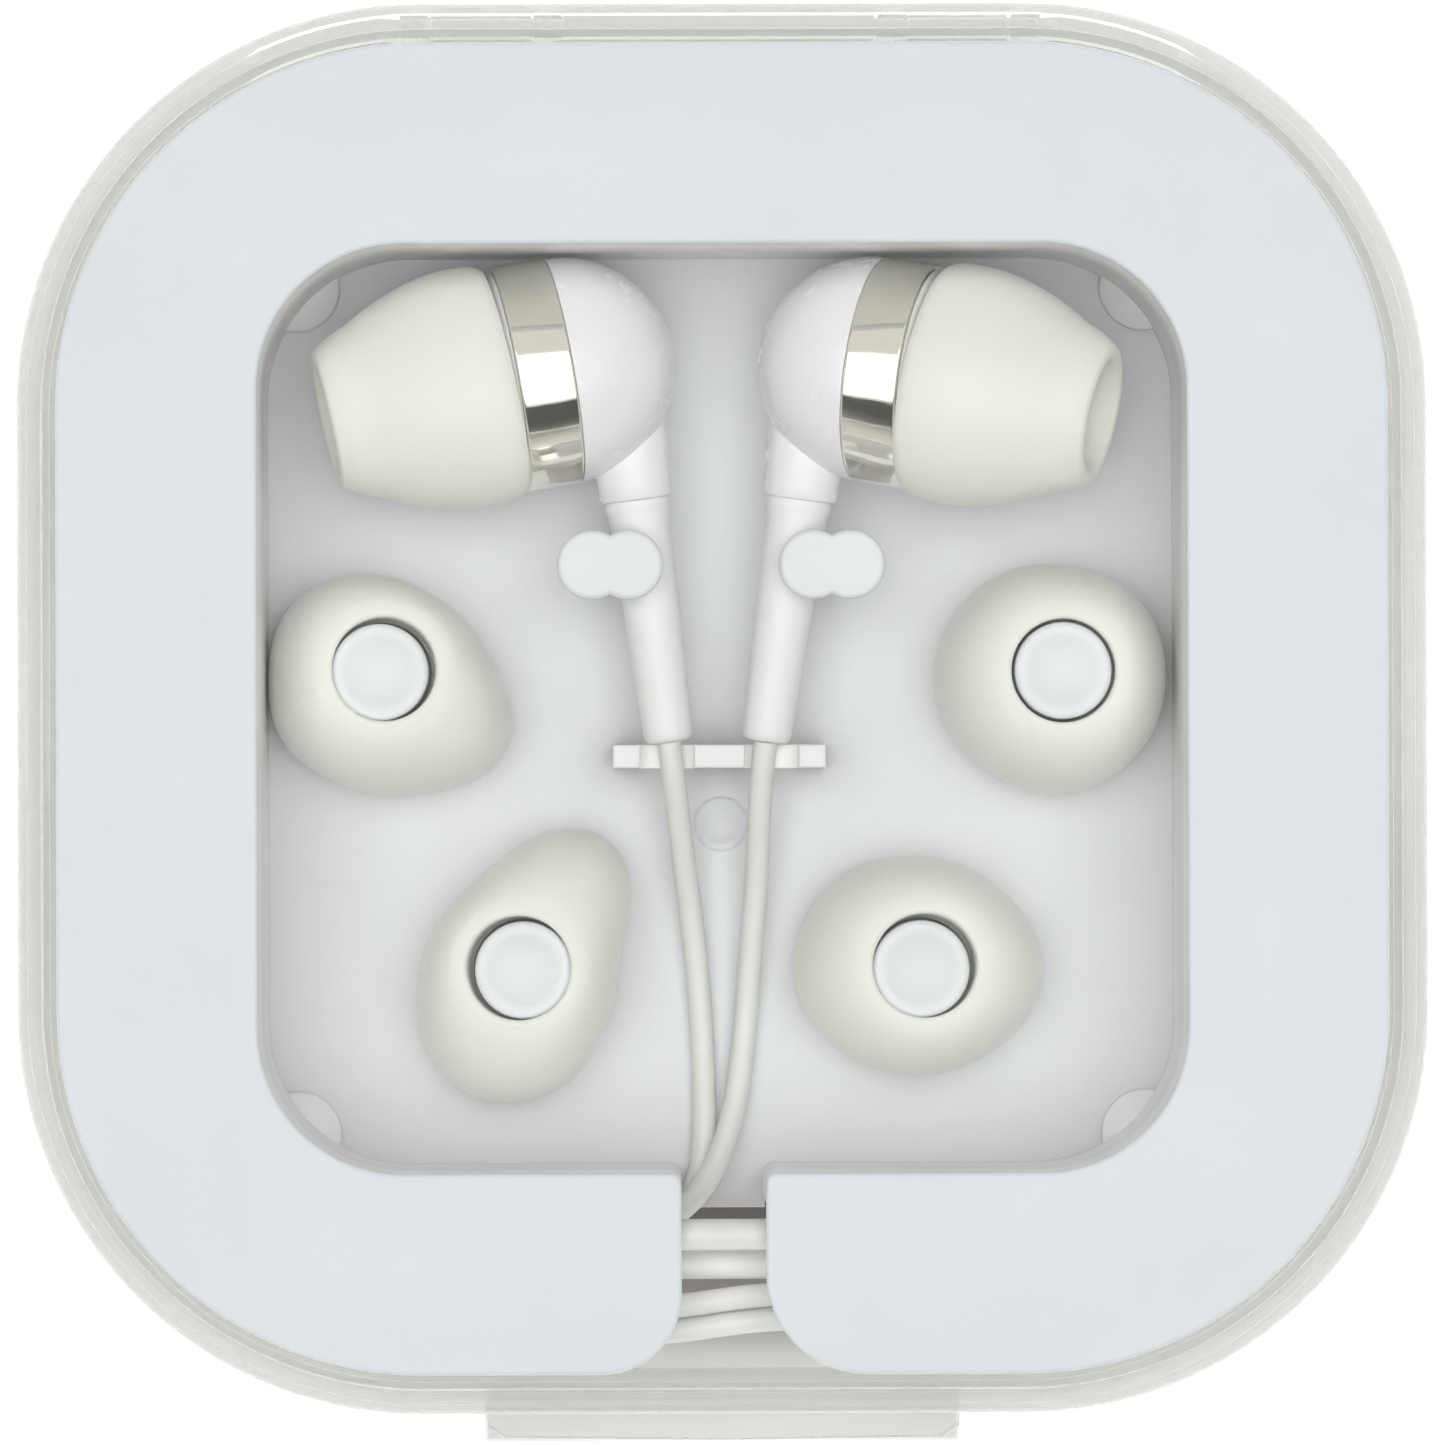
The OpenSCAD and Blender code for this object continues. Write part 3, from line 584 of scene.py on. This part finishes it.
def shellBase():
    plan = casePlan
    wall, edge, split, lip = plan["wall"], plan["edge"], plan["split"], plan["lip"]
    outer = [(edge + 4, 0), *arc((edge, edge), edge, 270, 180, 9)[:, :].tolist()]
    outer += [(0, plan["tabLow"] - 0.02), (0, plan["tabLow"]), (0, plan["tabLow"] + 0.25), (0, split - 0.25),
              (0, split - 0.06), (0.06, split)]
    top = [(wall / 2 + 0.05, split), (wall / 2 + 0.05, split + lip - 0.1), (wall / 2 + 0.15, split + lip),
           (wall - 0.1, split + lip), (wall, split + lip - 0.1), (wall, split - 2.1)]
    inner = [*arc((edge, edge), edge - wall, 180, 270, 7).tolist(), (edge + 4, wall)]
    p = shellPoints(outer + top + inner)
    x, y, z = p[..., 0], p[..., 1], p[..., 2]
    rear = (y > 0) & (np.abs(x) < plan["reliefHalf"] + 1)
    z[:] = np.where(rear, np.minimum(z, split), z)
    notch = np.zeros_like(x, bool)
    for at in plan["earSpans"]:
        notch |= (y > 0) & onlyBetween(x, at - plan["earHalf"], at + plan["earHalf"])
    z[:] = np.where(notch, np.minimum(z, split - plan["relief"]), z)
    reach = plan["tabOut"] * np.interp(np.abs(caseAt[:, 0]),
                                       [0, plan["tabHalf"] - 0.9, plan["tabHalf"] - 0.02,
                                       plan["tabHalf"]], [1, 0.93, 0.62, 0]) * (caseAt[:, 1] < -14.9)
    first = len(outer) - 5
    for row, share in ((first, 0.88), (first + 1, 1), (first + 2, 1), (first + 3, 0.97)):
        y[row] -= reach * share * (caseNormal[:, 1] < -0.999)
    return p.reshape(-1, 3), capped(len(p), len(caseAt))


def shellLid():
    plan = casePlan
    wall, edge, split, lip, top = plan["wall"], plan["edge"], plan["split"], plan["lip"], plan["height"]
    low = split + 0.05
    inner = [(edge + 4, top - wall), *arc((edge, top - edge), edge - wall, 90, 180, 7).tolist()]
    rim = [(wall, low + lip + 0.2), (wall / 2 - 0.05, low + lip + 0.2), (wall / 2 - 0.05, low + 0.08),
           (wall / 2 - 0.13, low), (0.08, low), (0, low + 0.08), (0, low + 2.2), (0, top - edge - 2.5)]
    outer = [*arc((edge, top - edge), edge, 180, 90, 9).tolist(), (edge + 4, top)]
    p = shellPoints(inner + rim + outer)
    x, y, z = p[..., 0], p[..., 1], p[..., 2]
    rear = (y > 0) & (np.abs(x) < plan["reliefHalf"])
    z[:] = np.where(rear, np.maximum(z, split + plan["relief"]), z)
    thumb = (np.abs(caseAt[:, 0]) < plan["tabHalf"]) * (caseAt[:, 1] < -14.9) * (caseNormal[:, 1] < -0.999)
    first = len(inner) + 4
    for row in range(first, first + 4):
        y[row] += 0.22 * thumb
    return p.reshape(-1, 3), capped(len(p), len(caseAt))


def rod(x0, x1, radius, bevel=0.08, bore=0.0):
    outside = [(radius - bevel, 0), (radius, bevel), (radius, x1 - x0 - bevel), (radius - bevel, x1 - x0)]
    inside = [(bore, x1 - x0), (bore, 0)] if bore else []
    return revolve(outside + inside, (x0, casePlan["hingeY"], casePlan["split"]), (1, 0, 0), 40, bool(bore))


def hingeParts(lid):
    parts = []
    for s in (-1, 1):
        mid = s * casePlan["hingeX"]
        if not lid:
            parts.append(rod(mid - 2.5, mid + 2.5, 1.25, bore=0.65))
            continue
        parts.append(rod(mid - 3.3, mid + 3.3, 0.6, 0.02))
        for e in (-1, 1):
            at = mid + e * casePlan["earX"]
            parts.append(rod(at - 0.7, at + 0.7, 1.25))
            parts.append(slab(at - 0.7, at + 0.7, 33.9, 34.8, 12.0, 15.1, 0.03))
    return parts


makePiece("caseBase", [shellBase()] + hingeParts(False), clearShell, "case", ["case_base"])
makePiece("caseLid", [shellLid()] + hingeParts(True), clearShell, "lid", ["case_lid"])
print("clear case made")


trayPlan = {
    "flangeHalf": 33.1, "flangeCorner": 18.1, "flangeLow": 19.0, "flangeTop": 20.2,
    "pocketHalf": 23.1, "pocketCorner": 7.2, "floorTop": 4.4, "floorLow": 3.2, "foot": 1.2,
    "hub": 1.5, "slotHalf": 2.1, "flares": (4.0, 5.0),
    "pegs": [(-17.2, 1.9), (17.2, 1.9), (-10.0, -13.1), (10.0, -13.1)], "pegRadius": 2.45, "pegTop": 13.2,
    "clips": [(-5.6, 7.3), (5.6, 7.3)], "clipTop": 12.6,
    "combAt": (-0.1, -2.36), "combTop": 10.0, "combSeat": 8.2, "pads": 21.6,
}


def openRing(outHalf, outCorner, inHalf, inCorner, gap, flares=None, steps=26):
    # a square ring with a gap at the front, as one closed line: round the outside, then back round the pocket
    o, i = outHalf - outCorner, inHalf - inCorner
    line = []
    if flares:
        line.append(arc((gap + flares[1], flares[1] - outHalf), flares[1], 180, 270, 14))
    else:
        line.append([(gap, -outHalf)])
    for at, a in (((o, -o), -90), ((o, o), 0), ((-o, o), 90), ((-o, -o), 180)):
        line.append(arc(at, outCorner, a, a + 90, steps))
    if flares:
        line.append(arc((-gap - flares[0], flares[0] - outHalf), flares[0], 270, 360, 14))
    else:
        line.append([(-gap, -outHalf)])
    line.append(arc((-gap - 0.5, -inHalf - 0.5), 0.5, 0, 90, 5))
    for at, a in (((-i, -i), 270), ((-i, i), 180), ((i, i), 90), ((i, -i), 0)):
        line.append(arc(at, inCorner, a, a - 90, steps))
    line.append(arc((gap + 0.5, -inHalf - 0.5), 0.5, 90, 180, 5))
    return np.concatenate(line)


def figureEight(radius, spread, steps=72):
    # outline of two equal discs side by side, as a distance from their middle
    a = np.linspace(0, tau, steps, endpoint=False)
    r = spread * np.abs(np.cos(a)) + np.sqrt(radius**2 - (spread * np.sin(a)) ** 2)
    return np.stack([r * np.cos(a), r * np.sin(a)], 1)


def trayParts():
    t = trayPlan
    hubHalf, hubCorner = t["pocketHalf"] + t["hub"], t["pocketCorner"] + t["hub"]
    parts = [
        prism(openRing(t["flangeHalf"], t["flangeCorner"], t["pocketHalf"], t["pocketCorner"], t["slotHalf"],
                       t["flares"]), softRows(t["flangeLow"], t["flangeTop"], 0.22, 5)),
        prism(openRing(hubHalf, hubCorner, t["pocketHalf"], t["pocketCorner"], t["slotHalf"]),
              [(0, t["foot"]), (0, t["flangeLow"] + 0.1)]),
        prism(roundSquare(t["pocketHalf"] + 0.7, t["pocketCorner"] + 0.7),
              [(0, t["floorLow"]), (0, t["floorTop"])]),
        slab(-t["slotHalf"] - 0.1, t["slotHalf"] + 0.1, -hubHalf - 0.8, -t["pocketHalf"] - 0.5,
             t["floorLow"] + 0.02,
             t["floorTop"] - 0.02),
        slab(-t["slotHalf"] - 0.1, t["slotHalf"] + 0.1, -hubHalf, -t["pocketHalf"] - 0.4, t["foot"],
             t["floorLow"] + 0.5, 0.02),
    ]
    r, top, low = t["pegRadius"], t["pegTop"], t["floorTop"] - 0.2
    for x, y in t["pegs"]:
        bevel = arc((r - 0.3, top - 0.3), 0.3, 0, 90, 6).tolist()
        parts.append(revolve([(r + 0.25, low), (r + 0.25, low + 0.25), (r, low + 0.5), *bevel, (r - 0.7, top),
                              (r - 0.8, top - 0.06)], (x, y, 0), sides=72, closed=False))
    for (x, y), outward in zip(t["clips"], (-1, 1)):
        head = figureEight(1.75, 0.93) + (x, y)
        parts.append(prism(head, softRows(t["clipTop"] - 1.2, t["clipTop"], 0.28, 5, base=True)))
        parts.append(revolve([(1.35, low), (1.2, low + 0.6), (1.2, t["clipTop"] - 1)],
                             (x + outward * 1.1, y, 0),
                             sides=40, closed=False))
    cx, cy = t["combAt"]
    parts.append(slab(cx - 5.4, cx + 5.4, cy - 0.6, cy + 0.6, low, t["combSeat"], 0.05))
    for x0, x1 in ((-5.4, -4.0), (-1.3, 1.3), (4.0, 5.4)):
        parts.append(slab(cx + x0, cx + x1, cy - 0.6, cy + 0.6, low, t["combTop"], 0.15))
    for sx in (-1, 1):
        for sy in (-1, 1):
            disc = arc((0, 0), 2.2, 0, 360, 49)[:-1]
            disc = np.clip(disc + (sx * t["pads"], sy * t["pads"]), -t["pocketHalf"] - 0.4,
                           t["pocketHalf"] + 0.4)
            parts.append(prism(disc, [(0, low), (0, low + 0.9), (0.1, low + 1.0)]))
    parts.append(revolve([(1.42, low), (1.42, low + 0.24), (1.3, low + 0.3), (1.0, low + 0.3),
                          (0.9, low + 0.24)],
                         (0, -5.8, 0), sides=48, closed=False))
    return parts


makePiece("insertTray", trayParts(), trayWhite, "case", ["insert_tray"], sharp=50)
print("tray made")


tipPlan = {"length": 9.4, "skin": 0.6, "bore": 2.55}
spareTips = {
    # radii of the skirt at sixteen bearings, from +X anticlockwise, and where the mouth leans
    "upper_left": {"at": 0, "lean": (0.26, 0.18), "round": (
        5.85, 5.2, 4.8, 4.8, 5.0, 5.4, 5.7, 5.9, 5.8, 6.1, 6.1, 6.05, 6.15, 6.55, 7.2, 7.1)},
    "upper_right": {"at": 1, "lean": (0.0, 0.0), "round": (
        5.45, 5.5, 5.5, 5.45, 5.5, 5.7, 5.9, 6.1, 6.3, 6.35, 6.3, 6.25, 6.2, 6.05, 5.8, 5.6)},
    "lower_left": {"at": 2, "lean": (-0.26, 0.12), "round": (
        4.8, 5.6, 7.3, 7.6, 6.4, 5.3, 5.0, 5.1, 5.4, 5.95, 6.75, 7.05, 6.75, 6.05, 5.3, 4.87)},
    "lower_right": {"at": 3, "lean": (0.2, 0.2), "round": (
        6.4, 6.1, 5.75, 5.6, 5.6, 5.8, 6.1, 6.25, 6.3, 6.15, 5.9, 5.65, 5.5, 5.55, 5.8, 6.2)},
}


def conedSkin(r, nose):
    l = tipPlan["length"]
    return [(r - 0.4, 0), (r - 0.12, 0.5), (r, 1.6), (r - 0.07, 3), (r - 0.4, 4.5), (r - 0.94, 6),
            (r - 1.62, 7.4),
            (nose + 0.42, 8.45), (nose, l - 0.25), (nose - 0.16, l - 0.08), (nose - 0.36, l)]


def domedSkin(r, nose):
    # radius falls from the skirt to the mouth as one plus minus a power of the height, rooted
    t = np.concatenate([np.linspace(0, 0.8, 9)[1:], [0.87, 0.93, 0.97]])
    curve = nose + (r - nose) * (1 - t**2.5) ** (1 / 1.8)
    top = np.column_stack([curve, 1.6 + t * (tipPlan["length"] - 1.6)])
    return [(r - 0.4, 0), (r - 0.12, 0.5), (r, 1.6), *top.tolist(), (nose + 0.12, tipPlan["length"] - 0.02)]


def tipProfile(r, mouth, skinLine):
    # one closed line: up the outside, over the rim, down the bore, and back up inside the skirt
    l, skin, bore = tipPlan["length"], tipPlan["skin"], tipPlan["bore"]
    outside = catmullRom(skinLine, 52)
    rim = [(mouth + 0.1, l - 0.05), (mouth + 0.03, l - 0.13), (mouth, l - 0.3)]
    inside = [(bore + 0.08, l - 0.7), (bore + 0.04, l - 1.7), (bore + 0.33, l - 2), (bore + 0.33, l - 3.3),
              (bore, l - 3.5), (bore, 2.0), (bore + 0.1, 1.9), (bore + skin - 0.1, 1.9), (bore + skin, 2.0),
              (bore + skin, 6.0)]
    fold = catmullRom([(bore + skin, 6.0), (bore + skin + 0.35, 6.7), (r - 2.5, 6.9), (r - 1.75, 6.1),
                       (r - 1.12, 4.8),
                       (r - 0.72, 3.2), (r - skin, 1.7), (r - skin - 0.1, 0.3), (r - skin - 0.1, 0)], 30)
    return np.concatenate([outside, rim, inside, fold[1:]])


def squeezed(radii, lean, nominal):
    # the skirt follows the sixteen radii, joined by a sum of sines and cosines; the tube stays round
    spectrum = np.fft.rfft(radii) / len(radii)

    def shape(local, angle, profile):
        order = np.arange(1, len(spectrum) - 1)
        waves = np.real(spectrum[1:-1, None] * np.exp(1j * order[:, None] * angle[None])).sum(0) * 2
        around = np.real(spectrum[0]) + waves
        share = np.clip((profile[:, 0] - 3.2) / (nominal - 3.2), 0, 1)[:, None]
        factor = 1 + (around[None] / nominal - 1) * share
        local[..., :2] *= factor[..., None]
        tilt = (np.clip(profile[:, 1] - 5.8, 0, None) / (tipPlan["length"] - 5.8))[:, None]
        local[..., 0] += lean[0] * tilt
        local[..., 1] += lean[1] * tilt
        return local

    return shape


def tipBody(name, part, body, node):
    return makePiece(name, [part], softTip, body, [node], sharp=60)


for key, plan in spareTips.items():
    nominal = 5.9
    x, y = trayPlan["pegs"][plan["at"]]
    verts, faces = revolve(tipProfile(nominal, 2.62, domedSkin(nominal, 2.75)),
                           (x, y, trayPlan["floorTop"] + 0.02), (0, 0, 1), 128, True,
                           squeezed(plan["round"], plan["lean"], nominal))
    verts[:, 0] = np.clip(verts[:, 0], -trayPlan["pocketHalf"] + 0.05, trayPlan["pocketHalf"] - 0.05)
    tipBody("spareTip_" + key, (verts, faces), key + "_spare", "spare_tip_" + key)


earPlan = {
    "left": {"at": (-7.94, 17.2, 10.2), "bearing": 190.0, "tilt": 6.0, "droop": 2.6,
             "stem": ((-4.24, 10.7, 9.6), (-2.64, -1.6, 8.9))},
    "right": {"at": (7.6, 17.2, 10.2), "bearing": -8.7, "tilt": 15.0, "droop": -4.2,
              "stem": ((3.99, 10.7, 9.6), (2.27, -1.6, 8.9))},
}
budPlan = {"radius": 5.7, "ringStart": 0.05, "ringWidth": 2.8, "tipStart": 3.05, "tipRadius": 6.1,
           "tipShare": 0.987, "wall": 1.0}


def nozzleAxis(plan, droop=0.0):
    a, t = math.radians(plan["bearing"] + droop), math.radians(plan["tilt"])
    return np.array([math.cos(t) * math.cos(a), math.cos(t) * math.sin(a), math.sin(t)])


def rearShell(side, plan):
    # half a ball with its wall, a spigot inside the ring, and a collar that runs into the stem
    r, wall = budPlan["radius"], budPlan["wall"]
    dome = arc((0, 0), r, -90, 0, 40).tolist()
    cavity = arc((0, 0), r - wall, -2, -90, 30).tolist()
    profile = dome + [(r - 0.02, 0.03), (4.95, 0.03), (4.95, 1.4), (4.2, 1.4), (4.2, -0.5)] + cavity
    parts = [revolve(profile, plan["at"], nozzleAxis(plan), 128, False)]
    top, low = (np.array(p) for p in plan["stem"])
    down = (low - top) / np.linalg.norm(low - top)
    collar = [(1.3, -4.4), (2.05, -4.4), (2.02, -3.0), (1.95, -1.6), (1.9, -0.7), (1.88, -0.15), (1.8, 0),
              (1.3, 0)]
    parts.append(revolve(collar, top, down, 72, True))
    return makePiece(side + "RearShell", parts, glossWhite, "case", [side + "_rear_shell"])


def stemPiece(side, plan):
    # a taper with a step below the collar and a rounded end round the cord
    top, low = (np.array(p) for p in plan["stem"])
    length = float(np.linalg.norm(low - top))
    body = [(1.2, 0.02), (1.62, 0.02), (1.68, 0.2), (1.68, 0.5), (1.58, 0.75)]
    body += [(1.58 - 0.32 * k / 10, 0.75 + (length - 1.2) * k / 10) for k in range(1, 11)]
    body += [(1.2, length - 0.2), (1.05, length - 0.05), (0.85, length), (0.61, length)]
    return makePiece(side + "Stem", [revolve(body, top, low - top, 72, False)], stemWhite, "case",
                     [side + "_strain_relief"])


def trimRing(side, plan):
    r, u0, u1 = budPlan["radius"] + 0.03, budPlan["ringStart"], budPlan["ringStart"] + budPlan["ringWidth"]
    edge = 0.14
    profile = [(4.99, u0), *arc((r - edge, u0 + edge), edge, -90, 0, 6).tolist(),
               *arc((r - edge, u1 - edge), edge, 0, 90, 6).tolist(), (4.99, u1)]
    return makePiece(side + "TrimRing", [revolve(profile, plan["at"], nozzleAxis(plan), 160, True)], chrome,
                     "case",
                     [side + "_trim_ring"])


for side, plan in earPlan.items():
    rearShell(side, plan)
    stemPiece(side, plan)
    trimRing(side, plan)
    start = np.array(plan["at"]) + nozzleAxis(plan) * budPlan["tipStart"]
    skinLine = conedSkin(budPlan["tipRadius"], 3.62)
    fitted = tipProfile(budPlan["tipRadius"], 2.85, skinLine) * (1, budPlan["tipShare"])
    tipBody(side + "EarTip", revolve(fitted, start, nozzleAxis(plan, plan["droop"]), 144), side + "_tip",
            side + "_ear_tip")
print("earphones made")


nodeFinish = {
    "nozzle_housing": glossWhite, "driver_frame": darkMoulding, "driver_yoke": pressedSteel,
    "driver_magnet": magnetMetal, "pole_plate": pressedSteel, "voice_coil": copper, "diaphragm": filmPlastic,
    "nozzle_mesh": meshSteel, "damping_felt": feltDisc, "terminal_board": boardGreen,
    "plug_sleeve": nickel, "plug_ring": nickel, "plug_tip": nickel, "plug_insulators": darkMoulding,
}
for nodeName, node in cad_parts.items():
    finish = nodeFinish.get(nodeName.removeprefix("left_").removeprefix("right_"))
    if finish:
        node.data.materials.clear()
        node.data.materials.append(finish)


def studio():
    floorMaterial, tree, shader = nodeMaterial("paleFloor", (0.93, 0.93, 0.93), 0.8)
    shader.inputs["Emission Color"].default_value = (1, 1, 1, 1)
    shader.inputs["Specular IOR Level"].default_value = 0.1
    place = tree.nodes.new("ShaderNodeTexCoord")
    # painted contact shadow on the floor under the case: dark brown in the middle, fading to the pale floor
    # at the case's edge
    away = tree.nodes.new("ShaderNodeVectorMath")
    away.operation = "ABSOLUTE"
    beyond = tree.nodes.new("ShaderNodeVectorMath")
    beyond.operation = "SUBTRACT"
    beyond.inputs[1].default_value = (0.0145, 0.0145, 0)
    near = tree.nodes.new("ShaderNodeVectorMath")
    near.operation = "MAXIMUM"
    near.inputs[1].default_value = (0, 0, 0)
    reach = tree.nodes.new("ShaderNodeVectorMath")
    reach.operation = "LENGTH"
    spread = tree.nodes.new("ShaderNodeMapRange")
    spread.inputs["From Min"].default_value = 0.008
    spread.inputs["From Max"].default_value = 0.0208
    shade = tree.nodes.new("ShaderNodeValToRGB")
    # colours of the painted shadow, from under the middle of the case out to the pale floor
    footprintShadowStops = ((0.0, (0.17, 0.14, 0.12)), (0.45, (0.22, 0.19, 0.17)), (0.7, (0.5, 0.47, 0.45)),
             (0.84, (0.9, 0.885, 0.875)),
             (0.94, (0.95, 0.945, 0.94)), (1.0, (0.95, 0.95, 0.95)))
    shade.color_ramp.elements[0].color = (*footprintShadowStops[0][1], 1)
    shade.color_ramp.elements[1].color = (*footprintShadowStops[-1][1], 1)
    for position, color in footprintShadowStops[1:-1]:
        shade.color_ramp.elements.new(position).color = (*color, 1)
    glow = tree.nodes.new("ShaderNodeMapRange")
    glow.inputs["From Min"].default_value = 0.0198
    glow.inputs["From Max"].default_value = 0.021
    glow.inputs["To Max"].default_value = 0.3
    # a pale grey painted shadow on the floor just in front of the case, under the front tab
    tab = tree.nodes.new("ShaderNodeVectorMath")
    tab.operation = "SUBTRACT"
    tab.inputs[1].default_value = (0.0123, 0.0377, 0)
    sides = tree.nodes.new("ShaderNodeSeparateXYZ")
    front = tree.nodes.new("ShaderNodeSeparateXYZ")
    deepest = tree.nodes.new("ShaderNodeMath")
    deepest.operation = "MAXIMUM"
    ahead = tree.nodes.new("ShaderNodeMath")
    ahead.operation = "MAXIMUM"
    tabShadowPatch = tree.nodes.new("ShaderNodeMapRange")
    tabShadowPatch.inputs["From Min"].default_value = 0.0
    tabShadowPatch.inputs["From Max"].default_value = -0.0003
    tabShadowTint = tree.nodes.new("ShaderNodeMix")
    tabShadowTint.data_type = "RGBA"
    tabShadowTint.inputs["B"].default_value = (0.86, 0.855, 0.855, 1)
    # the floor's glow is held back under the tab's painted shadow
    dim = tree.nodes.new("ShaderNodeMath")
    dim.operation = "SUBTRACT"
    dim.inputs[0].default_value = 1
    keep = tree.nodes.new("ShaderNodeMath")
    keep.operation = "MULTIPLY"
    outer = tree.nodes.new("ShaderNodeMath")
    outer.operation = "MULTIPLY"
    beyondEdge = tree.nodes.new("ShaderNodeMapRange")
    beyondEdge.inputs["From Min"].default_value = 0.0195
    beyondEdge.inputs["From Max"].default_value = 0.0203
    link = tree.links.new
    link(place.outputs["Object"], away.inputs[0])
    link(away.outputs["Vector"], beyond.inputs[0])
    link(beyond.outputs["Vector"], near.inputs[0])
    link(near.outputs["Vector"], reach.inputs[0])
    link(reach.outputs["Value"], spread.inputs["Value"])
    link(spread.outputs["Result"], shade.inputs["Fac"])
    link(reach.outputs["Value"], glow.inputs["Value"])
    link(away.outputs["Vector"], tab.inputs[0])
    link(tab.outputs["Vector"], sides.inputs["Vector"])
    link(place.outputs["Object"], front.inputs["Vector"])
    link(sides.outputs["X"], deepest.inputs[0])
    link(sides.outputs["Y"], deepest.inputs[1])
    link(deepest.outputs["Value"], ahead.inputs[0])
    link(front.outputs["Y"], ahead.inputs[1])
    link(ahead.outputs["Value"], tabShadowPatch.inputs["Value"])
    link(shade.outputs["Color"], tabShadowTint.inputs["A"])
    link(tabShadowPatch.outputs["Result"], outer.inputs[0])
    link(reach.outputs["Value"], beyondEdge.inputs["Value"])
    link(beyondEdge.outputs["Result"], outer.inputs[1])
    link(outer.outputs["Value"], tabShadowTint.inputs["Factor"])
    link(outer.outputs["Value"], dim.inputs[1])
    link(dim.outputs["Value"], keep.inputs[0])
    link(glow.outputs["Result"], keep.inputs[1])
    link(keep.outputs["Value"], shader.inputs["Emission Strength"])
    link(tabShadowTint.outputs["Result"], shader.inputs["Base Color"])
    bpy.ops.mesh.primitive_plane_add(size=6, location=(0, 0, -0.00006))
    floor = bpy.context.object
    floor.name = "floor"
    floor.data.materials.append(floorMaterial)

    world = bpy.data.worlds.new("softTent")
    scene.world = world
    world.use_nodes = True
    tree = world.node_tree
    sky = tree.nodes["Background"]
    sky.inputs["Color"].default_value = (1.0, 0.985, 0.955, 1)
    place = tree.nodes.new("ShaderNodeTexCoord")
    split = tree.nodes.new("ShaderNodeSeparateXYZ")
    fade = tree.nodes.new("ShaderNodeMapRange")
    fade.inputs["From Max"].default_value = 0.38
    fade.inputs["To Min"].default_value = 1.9
    fade.inputs["To Max"].default_value = 0.2
    tree.links.new(place.outputs["Generated"], split.inputs["Vector"])
    tree.links.new(split.outputs["Z"], fade.inputs["Value"])
    tree.links.new(fade.outputs["Result"], sky.inputs["Strength"])

    def softBox(name, at, size, power, aim=(0, 0, 0)):
        data = bpy.data.lights.new(name, "AREA")
        data.shape = "RECTANGLE"
        data.size, data.size_y = size
        data.energy = power
        lamp = bpy.data.objects.new(name, data)
        lamp.location = at
        lamp.rotation_euler = (Vector(aim) - Vector(at)).to_track_quat("-Z", "Y").to_euler()
        lamp.visible_glossy = False
        scene.collection.objects.link(lamp)

    softBox("overhead", (0.0, 0.0, 0.9), (0.85, 0.65), 6.4)

    def card(name, at, size, color, strength):
        # seen only in reflections
        material, tree, shader = nodeMaterial(name, (0, 0, 0), 1.0)
        shader.inputs["Specular IOR Level"].default_value = 0
        shader.inputs["Emission Color"].default_value = (*color, 1)
        shader.inputs["Emission Strength"].default_value = strength
        bpy.ops.mesh.primitive_plane_add(size=1, location=at)
        plane = bpy.context.object
        plane.name = name
        plane.scale = (*size, 1)
        plane.data.materials.append(material)
        plane.visible_camera = plane.visible_diffuse = False
        plane.visible_shadow = plane.visible_transmission = False

    card("paleCard", (0, 0, 1.3), (5, 5), (1, 0.98, 0.93), 0.72)
    card("whiteCard", (-0.1, -0.075, 0.88), (1.6, 0.81), (1, 1, 1), 1.7)
    card("darkCard", (0, -0.578, 0.5), (2.4, 0.577), (0.9, 1, 1), 0.015)
    scene.view_settings.view_transform = "Standard"


studio()
print("studio made")
